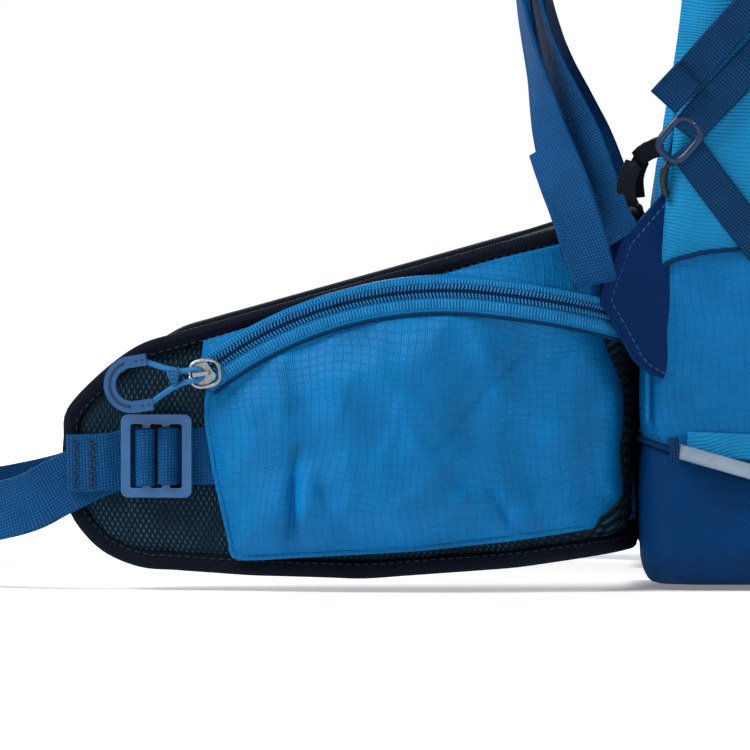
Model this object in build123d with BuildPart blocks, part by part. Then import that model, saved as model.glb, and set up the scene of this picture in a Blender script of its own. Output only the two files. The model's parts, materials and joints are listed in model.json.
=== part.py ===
from build123d import *
import os
from math import atan, atan2, cos, degrees, hypot, radians, sin, tan

# Travel backpack, standing upright. Millimetres, +Z up, the wearer faces -Y and the
# wearer's left is +X. The origin is on the flat base, half way through its depth.
# Depths in the sketches are counted from the plane of the back panel.

# ---- bag ----
bag_width = 320
bag_height = 640
base_depth = 220
belly_depth = 240
belly_height = 70
top_depth = 196
cloth = 2.5
lumbar_set = 5          # the bag comes this far forward at the lumbar
lumbar_top = 112
mid_back = 15           # and goes this far back above it
mid_back_low = 270
mid_back_high = 330
top_back = 6
back_corner = 16
front_corner = 50
shoulder_width = bag_width - 44
shoulder_height = bag_height - 220
recess_width = 230      # hollow of the back panel that the pads sit in
recess_depth = 26
recess_top = bag_height - 28
base_seam = 58
top_seam = bag_height - 95
front_seam = 190
back_seam = 128
fit = 0.3               # clearance of every moving piece
sheet_thick = 1.5

# ---- front opening ----
door_low = 90
door_width = 190
door_height = bag_height - 200
door_corner = 60
chain_width = 12
door_slider = 24
door_slider_travel = door_height - 140
front_pocket_low = 12
front_pocket_high = 290
front_pocket_deep = 38
front_pocket_width = 170

# ---- side pockets and straps ----
net = 1.0
side_web = 15
side_web_thick = 1.4
ring_depth = 11.8
ring_height = 190
loop_dia = 6.5
patch_thick = 1.2

# ---- back padding and harness ----
lumbar_pad_width = 224
lumbar_pad_low = 12
lumbar_pad_high = 150
back_pad_thick = 13
back_pad_low = 158
back_pad_high = bag_height - 40
strap_thick = 12
strap_root_low = 455
strap_top = 515
strap_arch = 42
strap_low_turn = 407
strap_end_radius = 200
strap_end_turn = 20.8
strap_web = 20
web_thick = 1.6
rail_x = 66
rail_dia = 3
rail_low = 434
rail_high = 506
sternum_height = 470

# ---- hip belt ----
fin_thick = 14
fin_root = 60
fin_bend_x = 120
fin_back = -14.5
fin_bend = 45
fin_turn = 95
bind = 1.2
bind_width = 7
belt_web = 25
roof = 15.5             # outer face of the pocket round its zip
pouch = 25              # outer face of the full part of the pocket
wall = 1.5
zip_radius = 167.8
zip_back = -85          # depth and height of the centre of the zip's curve
zip_height = -41.3
zip_first = 127.8       # angle of the slider at rest
zip_end = 68
coil = 2.4
coil_gap = 1.2
coil_thick = 2.2
buckle_x = 2
buckle_y = -347
buckle_z = 24
buckle_high = 30
buckle_long = 36
buckle_thick = 10
male_grip = 0.6         # the male half's grip, as a share of the female half's length

# ---- zip sliders and pulls ----
slider_long = 9
slider_wide = 10
slider_plate = 1.2
post_long = 6
post_thick = 0.6
cord_dia = 2.4
crown_thick = 1.0
crown_axis = 1.9        # height of a pull's hinge over its slider
crown_high = 4.8
crown_half = 2.4
crown_wide = 1.6
tab_thick = 4
tab_wide = 5
tab_reach = 9.5

back_y = -base_depth / 2
lean = atan((belly_depth - top_depth) / (bag_height - belly_height))
UP = Vector(0, 0, 1)
os.makedirs("parts", exist_ok=True)


def side(x=0):
    """Sketch plane seen from the wearer's left: depth, height."""
    return Plane(origin=(x, back_y, 0), x_dir=(0, 1, 0), z_dir=(1, 0, 0))


def plan(z=0):
    """Sketch plane seen from above: wearer's left, depth."""
    return Plane(origin=(0, back_y, z))


def facing(depth=0):
    """Sketch plane seen from the wearer: wearer's left, height."""
    return Plane(origin=(0, back_y + depth, 0), x_dir=(1, 0, 0), z_dir=(0, -1, 0))


def spot(x, depth, z):
    return Vector(x, back_y + depth, z)


def fill(low, high, mode=Mode.ADD):
    """Box between two corners given as wearer's left, depth, height."""
    size = [b - a for a, b in zip(low, high)]
    with Locations(spot(*[(a + b) / 2 for a, b in zip(low, high)])):
        Box(*size, mode=mode)


def twin(part):
    """The same piece on the wearer's right."""
    with BuildPart() as other:
        mirror(part, about=Plane.YZ)
    return other.part


def webbing(points, width, thickness, across):
    """Webbing along a smooth line through points; across is its width direction at each."""
    line = Edge.make_spline([spot(*point) for point in points])
    spans = len(points) - 1
    steps = 4 * spans
    if not isinstance(across, list):
        across = [across] * len(points)
    with BuildPart() as strip:
        for i in range(steps + 1):
            run = line % (i / steps)
            low = min(i * spans // steps, spans - 1)
            share = i * spans / steps - low
            wide = Vector(*across[low]) * (1 - share) + Vector(*across[low + 1]) * share
            wide = (wide - run * wide.dot(run)).normalized()
            with BuildSketch(Plane(origin=line @ (i / steps), x_dir=wide, z_dir=run)):
                Rectangle(width, thickness)
        loft(ruled=True)
    return strip.part


def bends(points):
    """Fillet radius for each corner of a cord's run."""
    radii = []
    for a, b, c in zip(points, points[1:], points[2:]):
        into = (b[0] - a[0], b[1] - a[1])
        away = (c[0] - b[0], c[1] - b[1])
        turn = abs(atan2(into[0] * away[1] - into[1] * away[0], into[0] * away[0] + into[1] * away[1]))
        radii.append(0.45 * min(hypot(*into), hypot(*away)) / tan(turn / 2))
    return radii


def tube(plane, points, dia):
    """Cord of round section along straight runs joined by tangent arcs."""
    with BuildPart() as cord:
        with BuildLine(plane) as run:
            FilletPolyline(*points, radius=bends(points))
        with BuildSketch(Plane(origin=run.line @ 0, z_dir=run.line % 0)):
            Circle(dia / 2)
        sweep(path=run.line)
    return cord.part


# ---------------------------------------------------------------- bag
def bag_body(inset=0):
    """The filled shape of the bag, its skin taken in by inset."""
    rise = mid_back_low - lumbar_top
    step = mid_back + lumbar_set
    turn = 2 * degrees(atan(step / rise))
    radius = (rise**2 + step**2) / (4 * step)
    with BuildPart() as body:
        with BuildSketch(side()) as profile:
            with BuildLine():
                low = Line((-lumbar_set, 0), (-lumbar_set, lumbar_top))
                into = JernArc(low @ 1, (0, 1), radius, -turn)
                out = JernArc(into @ 1, into % 1, radius, turn)
                Polyline(
                    out @ 1,
                    (mid_back, mid_back_high),
                    (top_back, bag_height),
                    (top_depth, bag_height),
                    (belly_depth, belly_height),
                    (base_depth, 0),
                    low @ 0,
                )
            make_face()
            fillet(profile.vertices().group_by(Axis.Y)[0], 18)
            fillet(profile.vertices().group_by(Axis.Y)[-1].sort_by(Axis.X)[0], 22)
            fillet(profile.vertices().group_by(Axis.Y)[-1].sort_by(Axis.X)[-1], 45)
            fillet(profile.vertices().sort_by(Axis.X)[-1], 60)
            if inset:
                offset(amount=-inset)
        extrude(amount=bag_width, both=True)
        with BuildSketch(facing()) as front:
            with BuildLine():
                Polyline(
                    (-bag_width / 2, 0),
                    (bag_width / 2, 0),
                    (bag_width / 2, shoulder_height),
                    (shoulder_width / 2, bag_height),
                    (-shoulder_width / 2, bag_height),
                    (-bag_width / 2, shoulder_height),
                    close=True,
                )
            make_face()
            fillet(front.vertices().group_by(Axis.Y)[0], 14)
            fillet(front.vertices().group_by(Axis.Y)[-1], 42)
            if inset:
                offset(amount=-inset)
        extrude(amount=2 * bag_width, both=True, mode=Mode.INTERSECT)
        with BuildSketch(plan()) as outline:
            with Locations((0, (belly_depth + 5 - lumbar_set) / 2)):
                Rectangle(bag_width, belly_depth + 5 + lumbar_set)
            fillet(outline.vertices().group_by(Axis.Y)[0], back_corner)
            fillet(outline.vertices().group_by(Axis.Y)[-1], front_corner)
            if inset:
                offset(amount=-inset)
        extrude(amount=bag_height + 5, mode=Mode.INTERSECT)
        half = recess_width / 2 + inset
        fill((-half, -50, -10), (half, recess_depth + inset, recess_top + inset), Mode.SUBTRACT)
    return body.part


bag = bag_body()
bag_inside = bag_body(cloth)

with BuildPart() as skin:
    add(bag)
    add(bag_inside, mode=Mode.SUBTRACT)


def front_depth(z):
    return belly_depth - (z - belly_height) * tan(lean)


door_plane = Plane(
    origin=spot(0, front_depth(door_low), door_low),
    x_dir=(-1, 0, 0),
    z_dir=(0, cos(lean), sin(lean)),
)


def door_shape(grow):
    """Outline of the front opening, grown on its sides and its top."""
    with BuildSketch() as shape:
        with Locations((0, (door_height + grow) / 2)):
            Rectangle(door_width + 2 * grow, door_height + grow)
        fillet(shape.vertices().group_by(Axis.Y)[-1], door_corner + grow)
    return shape.sketch


def door_block(grow, low=0):
    """Solid through the front of the bag over the opening's outline."""
    outline = door_shape(grow)
    with BuildPart() as block:
        with BuildSketch(door_plane.offset(-30)) as mark:
            add(outline)
            if low:
                with Locations((0, low / 2)):
                    Rectangle(2 * door_width, low, mode=Mode.SUBTRACT)
        extrude(amount=50)
    return block.part


door_hole = door_block(0)
door_cut = door_block(-fit, fit)
chain_hole = door_block(chain_width)
run_x = door_width / 2 + chain_width / 2

with BuildPart() as base_panel:
    add(skin.part)
    fill((-400, -50, -10), (400, 400, base_seam), Mode.INTERSECT)

with BuildPart() as top_panel:
    add(skin.part)
    fill((-400, -50, top_seam), (400, 400, bag_height + 10), Mode.INTERSECT)

with BuildPart() as back_panel:
    add(skin.part)
    fill((-back_seam, -50, base_seam), (back_seam, 60, top_seam), Mode.INTERSECT)

with BuildPart() as side_panel_right:
    add(skin.part)
    fill((-400, -50, base_seam), (-back_seam, front_seam, top_seam), Mode.INTERSECT)

with BuildPart() as side_panel_left:
    mirror(side_panel_right.part, about=Plane.YZ)

with BuildPart() as front_panel:
    add(skin.part)
    fill((-400, front_seam, base_seam), (400, 400, top_seam), Mode.INTERSECT)
    add(chain_hole, mode=Mode.SUBTRACT)

with BuildPart() as flap_zip_chain:
    add(skin.part)
    add(chain_hole, mode=Mode.INTERSECT)
    add(door_hole, mode=Mode.SUBTRACT)
    with BuildSketch(door_plane.offset(-30)):
        with Locations((-run_x, door_slider + door_slider_travel / 2)):
            Rectangle(coil_gap, door_slider_travel + 2 * post_long)
    extrude(amount=50, mode=Mode.SUBTRACT)

with BuildPart() as front_flap:
    add(skin.part)
    add(door_cut, mode=Mode.INTERSECT)

# stretch pocket on the flap, open at its top
with BuildPart() as front_pocket:
    low, high = front_pocket_low, front_pocket_high
    across = Plane(origin=door_plane.origin, x_dir=door_plane.z_dir, z_dir=(1, 0, 0))
    for inset in (0, net):
        with BuildSketch(across):
            with BuildLine():
                Polyline(
                    (0, low + inset),
                    (front_pocket_deep * 0.6, low + inset),
                    (front_pocket_deep - inset, low + 50),
                    (front_pocket_deep - 8 - inset, high + 5 * inset),
                    (0, high + 5 * inset),
                    close=True,
                )
            make_face()
        extrude(
            amount=front_pocket_width / 2 - inset,
            both=True,
            mode=Mode.SUBTRACT if inset else Mode.ADD,
        )

# ---------------------------------------------------------------- frame inside the bag
sheet_y = recess_depth + cloth
with BuildPart() as frame_sheet:
    with BuildSketch(facing(sheet_y)):
        with Locations((0, 305)):
            RectangleRounded(218, 480, 30)
        with Locations((0, 220), (0, 305), (0, 390)):
            SlotOverall(120, 26, mode=Mode.SUBTRACT)
    extrude(amount=-sheet_thick)

with BuildPart() as frame_wire:
    with BuildSketch(facing(sheet_y + sheet_thick)) as loop:
        with Locations((0, 305)):
            RectangleRounded(204, 466, 34)
            RectangleRounded(194, 456, 29, mode=Mode.SUBTRACT)
    extrude(amount=-5)
    fillet(frame_wire.edges().group_by(Axis.Y)[-1], 2.2)

# ---------------------------------------------------------------- pads in the recess
with BuildPart() as lumbar_pad:
    fill(
        (-lumbar_pad_width / 2, fin_back + fin_thick / 2 + bind, lumbar_pad_low),
        (lumbar_pad_width / 2, recess_depth, lumbar_pad_high),
    )
    fillet(lumbar_pad.edges().filter_by(Axis.Y), 18)
    fillet(lumbar_pad.faces().sort_by(Axis.Y)[0].edges(), 5)

with BuildPart() as back_pad:
    fill(
        (-recess_width / 2 + 3, recess_depth - back_pad_thick, back_pad_low),
        (recess_width / 2 - 3, recess_depth, back_pad_high),
    )
    fillet(back_pad.edges().filter_by(Axis.Y), 22)
    fillet(back_pad.faces().sort_by(Axis.Y)[0].edges(), 4)
    fill((-14, 0, back_pad_low), (14, recess_depth - 5, back_pad_high), Mode.SUBTRACT)
    for z in (235, 330):
        fill((-200, 0, z), (200, recess_depth - 6, z + 14), Mode.SUBTRACT)

# ---------------------------------------------------------------- shoulder straps
root_depth = recess_depth - back_pad_thick - strap_thick / 2
strap_front = root_depth - 2 * strap_arch
strap_end = spot(
    107,
    strap_front + strap_end_radius * (1 - cos(radians(strap_end_turn))),
    strap_low_turn - strap_end_radius * sin(radians(strap_end_turn)),
)
end_run = Vector(0, sin(radians(strap_end_turn)), -cos(radians(strap_end_turn)))
end_face = Vector(1, 0, 0).cross(end_run)
lock_middle = strap_end + end_run * 13
lock_plane = Plane(origin=lock_middle, x_dir=(1, 0, 0), z_dir=end_face)
tongue_plane = Plane(origin=lock_middle, x_dir=end_run, z_dir=(1, 0, 0))

with BuildPart() as shoulder_strap_left:
    with BuildSketch(side(20)):
        with BuildLine():
            root = Line((root_depth, strap_root_low), (root_depth, strap_top))
            arch = JernArc(root @ 1, (0, 1), strap_arch, 180)
            drop = Line(arch @ 1, (strap_front, strap_low_turn))
            JernArc(drop @ 1, (0, -1), strap_end_radius, strap_end_turn)
        trace(line_width=strap_thick)
    extrude(amount=120)
    with BuildSketch(facing()):
        with BuildLine():
            inner = ThreePointArc((34, 590), (46, 450), (90, 325))
            outer = ThreePointArc((92, 590), (112, 450), (126, 325))
            Line(inner @ 0, outer @ 0)
            Line(inner @ 1, outer @ 1)
        make_face()
    extrude(amount=300, both=True, mode=Mode.INTERSECT)
    # rail for the sternum strap, stood off the front of the strap
    rail_y = strap_front - strap_thick / 2 - 4
    fill(
        (rail_x - 4, rail_y - 2.5, rail_low - 8),
        (rail_x + 4, rail_y + 4, rail_low),
    )
    fill(
        (rail_x - 4, rail_y - 2.5, rail_high),
        (rail_x + 4, rail_y + 4, rail_high + 8),
    )
    with Locations(spot(rail_x, rail_y, (rail_low + rail_high) / 2)):
        Cylinder(rail_dia / 2, rail_high - rail_low)
    # webbing tongue round the top bar of the ladder lock
    with BuildSketch(tongue_plane):
        with Locations((-11, 0)):
            Rectangle(10.4, 7)
        with Locations((-12, 0)):
            Rectangle(9.4, 4.2, mode=Mode.SUBTRACT)
    extrude(amount=strap_web / 2, both=True)


def ladder_lock(plane, width, length, thick, rail=3.5, bar=3):
    """Ladder lock: two rails, two end bars and two middle bars; length along y."""
    gap = (length - 2 * rail - 2 * bar) / 3
    with BuildPart() as lock:
        with BuildSketch(plane):
            RectangleRounded(width, length, 3)
            for step in (-1, 0, 1):
                with Locations((0, step * (gap + bar))):
                    RectangleRounded(width - 2 * rail, gap, 1, mode=Mode.SUBTRACT)
        extrude(amount=thick / 2, both=True)
    return lock.part


with BuildPart() as strap_lock_left:
    add(ladder_lock(lock_plane, 29, 24, 4))

# ---------------------------------------------------------------- hip fins
turn = radians(fin_turn - 90)
outward = Vector(cos(turn), -sin(turn), 0)
rearward = Vector(sin(turn), cos(turn), 0)
flat_start = spot(fin_bend_x, fin_back - fin_bend, 0) + outward * fin_bend
zip_run = (flat_start.Y - back_y - zip_back) / cos(turn)
zip_plane = Plane(
    origin=flat_start - rearward * zip_run + UP * zip_height, x_dir=rearward, z_dir=outward
)


def flat(ahead, out, z):
    """Point over the straight part of the left fin: how far ahead, how far out, height."""
    return flat_start - rearward * ahead + outward * out + UP * z


def fin_line(out):
    """Plan line of the left fin, a distance outside its middle."""
    root = Line((fin_root, fin_back + out), (fin_bend_x, fin_back + out))
    bend = JernArc(root @ 1, (1, 0), fin_bend + out, -fin_turn)
    Line(bend @ 1, bend @ 1 + (bend % 1) * 260)


def fin_layer(inner, outer):
    """Slab along the fin between two distances from its middle."""
    with BuildPart() as slab:
        with BuildSketch(plan()):
            with BuildLine():
                fin_line((inner + outer) / 2)
            trace(line_width=outer - inner)
        extrude(amount=200)
    return slab.part


def seen_from_side(inset, *lines):
    """Outline of lines and arcs in depth and height, carried through the fin."""
    with BuildPart() as block:
        with BuildSketch(side()):
            with BuildLine():
                for points in lines:
                    if len(points) == 3:
                        ThreePointArc(*points)
                    else:
                        Line(*points)
            make_face()
            if inset:
                offset(amount=-inset, kind=Kind.INTERSECTION)
        extrude(amount=260)
    return block.part


def fin_block(inset):
    return seen_from_side(
        inset,
        ((2, 164.5), (-212, 104.5)),
        ((-212, 104.5), (-247, 54), (-219, 10)),
        ((-219, 10), (-120, 5.2), (2, 19)),
        ((2, 19), (2, 164.5)),
    )


def zip_arc(radius, angle):
    """Depth and height of a point on the zip's curve or beside it."""
    return (
        zip_back + (zip_radius + radius) * cos(radians(angle)) * cos(turn),
        zip_height + (zip_radius + radius) * sin(radians(angle)),
    )


def zip_ring(middle, width, first, last):
    """Ring sector over the zip's curve, carried through the fin."""
    with BuildPart() as ring:
        with BuildSketch(zip_plane.offset(-40)):
            with BuildLine():
                CenterArc((0, 0), zip_radius + middle, first, last - first)
            trace(line_width=width)
        extrude(amount=100)
    return ring.part


def slider(place, chain, pull_angle):
    """Zip slider on a chain whose outer face is the plane; x runs along the chain."""
    with BuildPart() as body:
        for face, amount in ((fit, slider_plate), (-chain - fit, -slider_plate)):
            with BuildSketch(place.offset(face)):
                RectangleRounded(slider_long, slider_wide - 2 * (amount < 0), 2)
            extrude(amount=amount)
        with BuildSketch(place.offset(-chain - fit)):
            Rectangle(post_long, post_thick)
        extrude(amount=chain + 2 * fit)
        top = place.offset(fit + slider_plate)
        along = top.from_local_coords(Vector(cos(pull_angle), sin(pull_angle), 0)) - top.origin
        across = along.cross(top.z_dir)
        with BuildSketch(Plane(origin=top.origin, x_dir=along, z_dir=across)):
            with Locations((0, crown_high / 2)):
                Rectangle(2 * (crown_half + crown_thick), crown_high)
            with Locations((0, (crown_high - crown_thick) / 2)):
                Rectangle(2 * crown_half, crown_high - crown_thick, mode=Mode.SUBTRACT)
        extrude(amount=crown_wide / 2, both=True)
    return body.part


def pull_plane(place, pull_angle):
    """Plane of a pull at its hinge: x points along the pull, z away from the bag."""
    at = place.offset(fit + slider_plate + crown_axis)
    along = at.from_local_coords(Vector(cos(pull_angle), sin(pull_angle), 0)) - at.origin
    return Plane(origin=at.origin, x_dir=along, z_dir=at.z_dir)


fin_slab = fin_layer(-fin_thick / 2, fin_thick / 2)
fin_core = fin_block(bind)
fin_middle = fin_block(bind_width)

# ---------------------------------------------------------------- hip pockets
roof_front = zip_arc(9, 130.5)
roof_crest = zip_arc(9, 98)
roof_rear = zip_arc(9, 66)
pouch_front = zip_arc(-9, 128)
pouch_crest = zip_arc(-9, 98)
pouch_rear = zip_arc(-9, 66)


def roof_block(inset):
    return seen_from_side(
        inset,
        ((-178, 14.5), (-189, 72)),
        ((-189, 72), roof_front),
        (roof_front, roof_crest, roof_rear),
        (roof_rear, (-16, 27)),
        ((-16, 27), (-100, 17.5), (-178, 14.5)),
    )


def pouch_block(inset):
    return seen_from_side(
        inset,
        ((-174.5, 18), (-187, 78)),
        ((-187, 78), pouch_front),
        (pouch_front, pouch_crest, pouch_rear),
        (pouch_rear, (-19, 30)),
        ((-19, 30), (-100, 20.5), (-174.5, 18)),
    )


def pouch_swell(inset):
    """Plan of the full part of the pocket, thinning out where the fin bends."""
    front = [flat(124, 0, 0), flat(117, pouch, 0), flat(34, pouch, 0)]
    with BuildPart() as swell:
        with BuildSketch():
            with BuildLine():
                Polyline(*front)
                rear = ThreePointArc(front[2], spot(180, -43, 0), spot(158, -19, 0))
                Polyline(rear @ 1, spot(130, -28, 0), spot(140, -62, 0), front[0])
            make_face()
            if inset:
                offset(amount=-inset, kind=Kind.INTERSECTION)
        extrude(amount=200)
    return swell.part


def pocket_body(inset):
    with BuildPart() as full:
        add(pouch_swell(inset))
        add(pouch_block(inset), mode=Mode.INTERSECT)
    with BuildPart() as flat_part:
        add(fin_layer(fin_thick / 2 - inset, roof - inset))
        add(roof_block(inset), mode=Mode.INTERSECT)
        add(fin_block(inset), mode=Mode.INTERSECT)
    with BuildPart() as both:
        add(flat_part.part)
        add(full.part)
    return both.part


chain_half = coil + coil_gap / 2
pocket_shape = pocket_body(0)
pocket_inside = pocket_body(wall)
behind_fin = fin_layer(-30, fin_thick / 2)

anchor_run = [(124, 7.7), (135.6, 7.7), (137.2, 14.1), (143, 14.1), (143.4, 10)]
lock_z = 56.5

with BuildPart() as belt_fin_left:
    add(fin_slab)
    add(fin_core, mode=Mode.INTERSECT)
    # webbing sewn under the pocket and looped over a bar of the ladder lock
    with BuildSketch(Plane.XY.offset(lock_z - belt_web / 2)):
        with BuildLine():
            Polyline(*[flat(ahead, out, 0) for ahead, out in anchor_run])
        trace(line_width=1.4)
    extrude(amount=belt_web)
    add(pocket_shape, mode=Mode.SUBTRACT)

with BuildPart() as belt_binding_left:
    add(fin_layer(-fin_thick / 2 - bind, fin_thick / 2 + bind))
    add(fin_block(0), mode=Mode.INTERSECT)
    add(fin_middle, mode=Mode.SUBTRACT)
    add(belt_fin_left.part, mode=Mode.SUBTRACT)

chain_face = roof + 0.5
slot = zip_ring(0, 2 * chain_half, zip_end, zip_first + 2.1)
slot_layer = fin_layer(chain_face - coil_thick, roof + 5)

with BuildPart() as zip_slot:
    add(slot)
    add(slot_layer, mode=Mode.INTERSECT)

with BuildPart() as belt_pocket_left:
    add(pocket_shape)
    add(pocket_inside, mode=Mode.SUBTRACT)
    add(behind_fin, mode=Mode.SUBTRACT)
    add(zip_slot.part, mode=Mode.SUBTRACT)
    add(belt_binding_left.part, mode=Mode.SUBTRACT)

chain_layer = fin_layer(chain_face - coil_thick, chain_face)
chain_gap = zip_ring(0, coil_gap, zip_end + 1, zip_first + 1.5)
with BuildPart() as belt_zip_chain_left:
    add(chain_layer)
    add(slot, mode=Mode.INTERSECT)
    add(chain_gap, mode=Mode.SUBTRACT)

# slider at the front end of the zip, turned to the run of the chain
start = radians(zip_first)
slider_place = Plane(
    origin=zip_plane.offset(chain_face).from_local_coords(
        Vector(zip_radius * cos(start), zip_radius * sin(start), 0)
    ),
    x_dir=rearward * sin(start) - UP * cos(start),
    z_dir=outward,
)
pull_turn = radians(180 + 8.7 - (zip_first - 90))
with BuildPart() as belt_slider_left:
    add(slider(slider_place, coil_thick, pull_turn))

hinge = pull_plane(slider_place, pull_turn)
cord_half = [(25, 10.1), (11, 1.9), (0, 2.8)]
cord_run = cord_half + [(u, -v) for u, v in reversed(cord_half)]
print("bend radii of the pull cord", [round(radius, 1) for radius in bends(cord_run)])
with BuildPart() as belt_pull_cord_left:
    add(tube(hinge, cord_run, cord_dia))

with BuildPart() as belt_pull_tab_left:
    with BuildSketch(hinge):
        with BuildLine():
            upper = Line((22, tab_reach), (29.5, tab_reach))
            bow = ThreePointArc(upper @ 1, (29.5 + tab_reach, 0), (29.5, -tab_reach))
            Line(bow @ 1, (22, -tab_reach))
        trace(line_width=tab_wide)
    extrude(amount=tab_thick / 2, both=True)
    add(belt_pull_cord_left.part, mode=Mode.SUBTRACT)

# ---------------------------------------------------------------- hip webbing and buckle
belt_lock_plane = Plane(origin=flat(144.6, 11.2, lock_z), x_dir=-UP, z_dir=outward)
with BuildPart() as belt_lock_left:
    add(ladder_lock(belt_lock_plane, 35, 30, 4, rail=4))


def local(point):
    """A point as wearer's left, depth and height."""
    return (point.X, point.Y - back_y, point.Z)


belt_run = [
    local(flat(152.6, 7.95, 56.2)),
    local(flat(161, 7.95, 54.5)),
    local(flat(174, 9.2, 49.5)),
    local(flat(188, 9.2, 42.5)),
    local(flat(204, 8.2, 35)),
    (138, -300, 28.5),
    (104, -333, 25.5),
    (66, buckle_y, buckle_z),
    (buckle_x + buckle_long, buckle_y, buckle_z),
]
wrap_run = [(153, 7.95), (152, 14.1), (146.4, 14.1), (146, 10)]
tail_run = [(150, 14.1), (161.5, 14.1), (165.5, 12), (182, 12)]


def belt_webbing(run):
    """Webbing from the buckle, round a bar of the ladder lock and back as a free tail."""
    with BuildPart() as strap:
        add(webbing(run, belt_web, 1.4, (0, 0, 1)))
        for turns, thick, middle in ((wrap_run, 1.4, lock_z), (tail_run, 2.2, lock_z - 3)):
            with BuildSketch(Plane.XY.offset(middle - belt_web / 2)):
                with BuildLine():
                    Polyline(*[flat(ahead, out, 0) for ahead, out in turns])
                trace(line_width=thick)
            extrude(amount=belt_web)
        for piece in (belt_lock_left, belt_fin_left, belt_binding_left):
            add(piece.part, mode=Mode.SUBTRACT)
    return strap.part


def buckle_female(x, y, z, long, high, thick, deep, plate):
    """Female half: a flat box open towards the wearer's right, with two side windows."""
    with BuildPart() as half:
        fill((x, y - thick / 2, z - high / 2), (x + long, y + thick / 2, z + high / 2))
        fillet(half.edges().filter_by(Axis.Y), 3)
        fillet(half.faces().sort_by(Axis.X)[-1].edges(), 1.5)
        fill(
            (x - 1, y - thick / 2 + plate, z - high / 2 + 4),
            (x + deep, y + thick / 2 - plate, z + high / 2 - 4),
            Mode.SUBTRACT,
        )
        fill(
            (x + deep * 0.45, y - thick / 2 + plate + 0.6, z - high),
            (x + deep - 2, y + thick / 2 - plate - 0.6, z + high),
            Mode.SUBTRACT,
        )
    return half.part


def buckle_male(x, y, z, long, high, thick, deep, plate):
    """Male half: a grip block and three fingers that reach into the female half."""
    with BuildPart() as half:
        fill((-x - long * male_grip, y - thick / 2, z - high / 2), (-x, y + thick / 2, z + high / 2))
        fillet(half.edges().filter_by(Axis.Y), 3)
        reach = high / 2 - 4 - 0.4
        flat_half = thick / 2 - plate - 0.4
        for low, top in ((-reach, -reach + 3), (-2, 2), (reach - 3, reach)):
            fill((-x - 1, y - flat_half, z + low), (x + deep - 1, y + flat_half, z + top))
    return half.part


hip = (buckle_x, buckle_y, buckle_z, buckle_long, buckle_high, buckle_thick, 26, 2.2)
with BuildPart() as hip_buckle_female:
    add(buckle_female(*hip))
with BuildPart() as hip_buckle_male:
    add(buckle_male(*hip))
hip_male_end = buckle_x + buckle_long * male_grip
with BuildPart() as belt_web_left:
    add(belt_webbing(belt_run))
    add(hip_buckle_female.part, mode=Mode.SUBTRACT)
right_side = twin(belt_webbing(belt_run[:-1] + [(hip_male_end, buckle_y, buckle_z)]))
with BuildPart() as belt_web_right:
    add(right_side)
    add(hip_buckle_male.part, mode=Mode.SUBTRACT)

# ---------------------------------------------------------------- sternum strap
web_y = rail_y - 4
clip_half = 5
clip_low = sternum_height - 7
clip_high = sternum_height + 7
with BuildPart() as sternum_clip_left:
    fill(
        (rail_x - clip_half, rail_y - 6, clip_low),
        (rail_x + clip_half, rail_y + 2.8, clip_high),
    )
    fillet(sternum_clip_left.edges().filter_by(Axis.Z), 1.5)
    with Locations(spot(rail_x, rail_y, sternum_height)):
        Cylinder(rail_dia / 2 + fit, 2 * (clip_high - clip_low), mode=Mode.SUBTRACT)
chest_x = 1
chest_long = 22
chest = (chest_x, web_y, sternum_height, chest_long, 24, 8, 15, 1.8)
with BuildPart() as sternum_buckle_female:
    add(buckle_female(*chest))
with BuildPart() as sternum_buckle_male:
    add(buckle_male(*chest))
web_low = sternum_height - strap_web / 2
web_high = sternum_height + strap_web / 2
with BuildPart() as sternum_web_left:
    fill(
        (chest_x + chest_long, web_y - web_thick / 2, web_low),
        (rail_x - clip_half, web_y + web_thick / 2, web_high),
    )
with BuildPart() as sternum_web_right:
    fill(
        (clip_half - rail_x, web_y - web_thick / 2, web_low),
        (-chest_x - chest_long * male_grip, web_y + web_thick / 2, web_high),
    )

# ---------------------------------------------------------------- stabiliser wings
with BuildPart() as belt_wing_left:
    with BuildSketch(side(130)):
        with BuildLine():
            Polyline(
                (8, 171),
                (-13.4, 145.7),
                (-21.8, 122.6),
                (-16.3, 112.6),
                (-6.7, 95.3),
                (8, 88),
                close=True,
            )
        make_face()
    extrude(amount=60)
    with BuildSketch(plan()):
        with BuildLine():
            Line((bag_width / 2 - 4, 9), (168.5, -24))
        trace(line_width=web_thick)
    extrude(amount=200, mode=Mode.INTERSECT)
    add(bag, mode=Mode.SUBTRACT)



def over_lock(ahead, out):
    """Point over the shoulder strap's ladder lock, ahead of its middle and out from it."""
    return local(lock_middle + end_run * ahead + end_face * out)


strand = [
    over_lock(1, 3.1),
    over_lock(17, 3.1),
    (112, -51, 262),
    (124, -43, 225),
    (140, -33, 197),
    (167.6, -17, 159),
    (165.3, -11, 146),
]
tail = [
    over_lock(1, -3.3),
    over_lock(17, -3.3),
    (113, -57, 258),
    (132, -50, 220),
    (156, -42, 189),
    (173, -32, 160),
    (177, -23.5, 129),
]
spread = [
    (1, 0, 0),
    (1, 0, 0),
    (0.9, 0.35, 0),
    (0.6, 0.75, 0),
    (0.3, 0.95, 0),
    (-0.35, 0.93, 0),
    (-0.35, 0.93, 0),
]
with BuildPart() as strap_web_left:
    add(webbing(strand, strap_web, web_thick, spread))
    add(webbing(tail, strap_web, 2.2, spread))
    # the turn through the ladder lock's middle slot
    with BuildSketch(tongue_plane):
        Rectangle(2.4, 8.4)
    extrude(amount=strap_web / 2, both=True)
    add(belt_wing_left.part, mode=Mode.SUBTRACT)
    add(strap_lock_left.part, mode=Mode.SUBTRACT)

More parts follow.
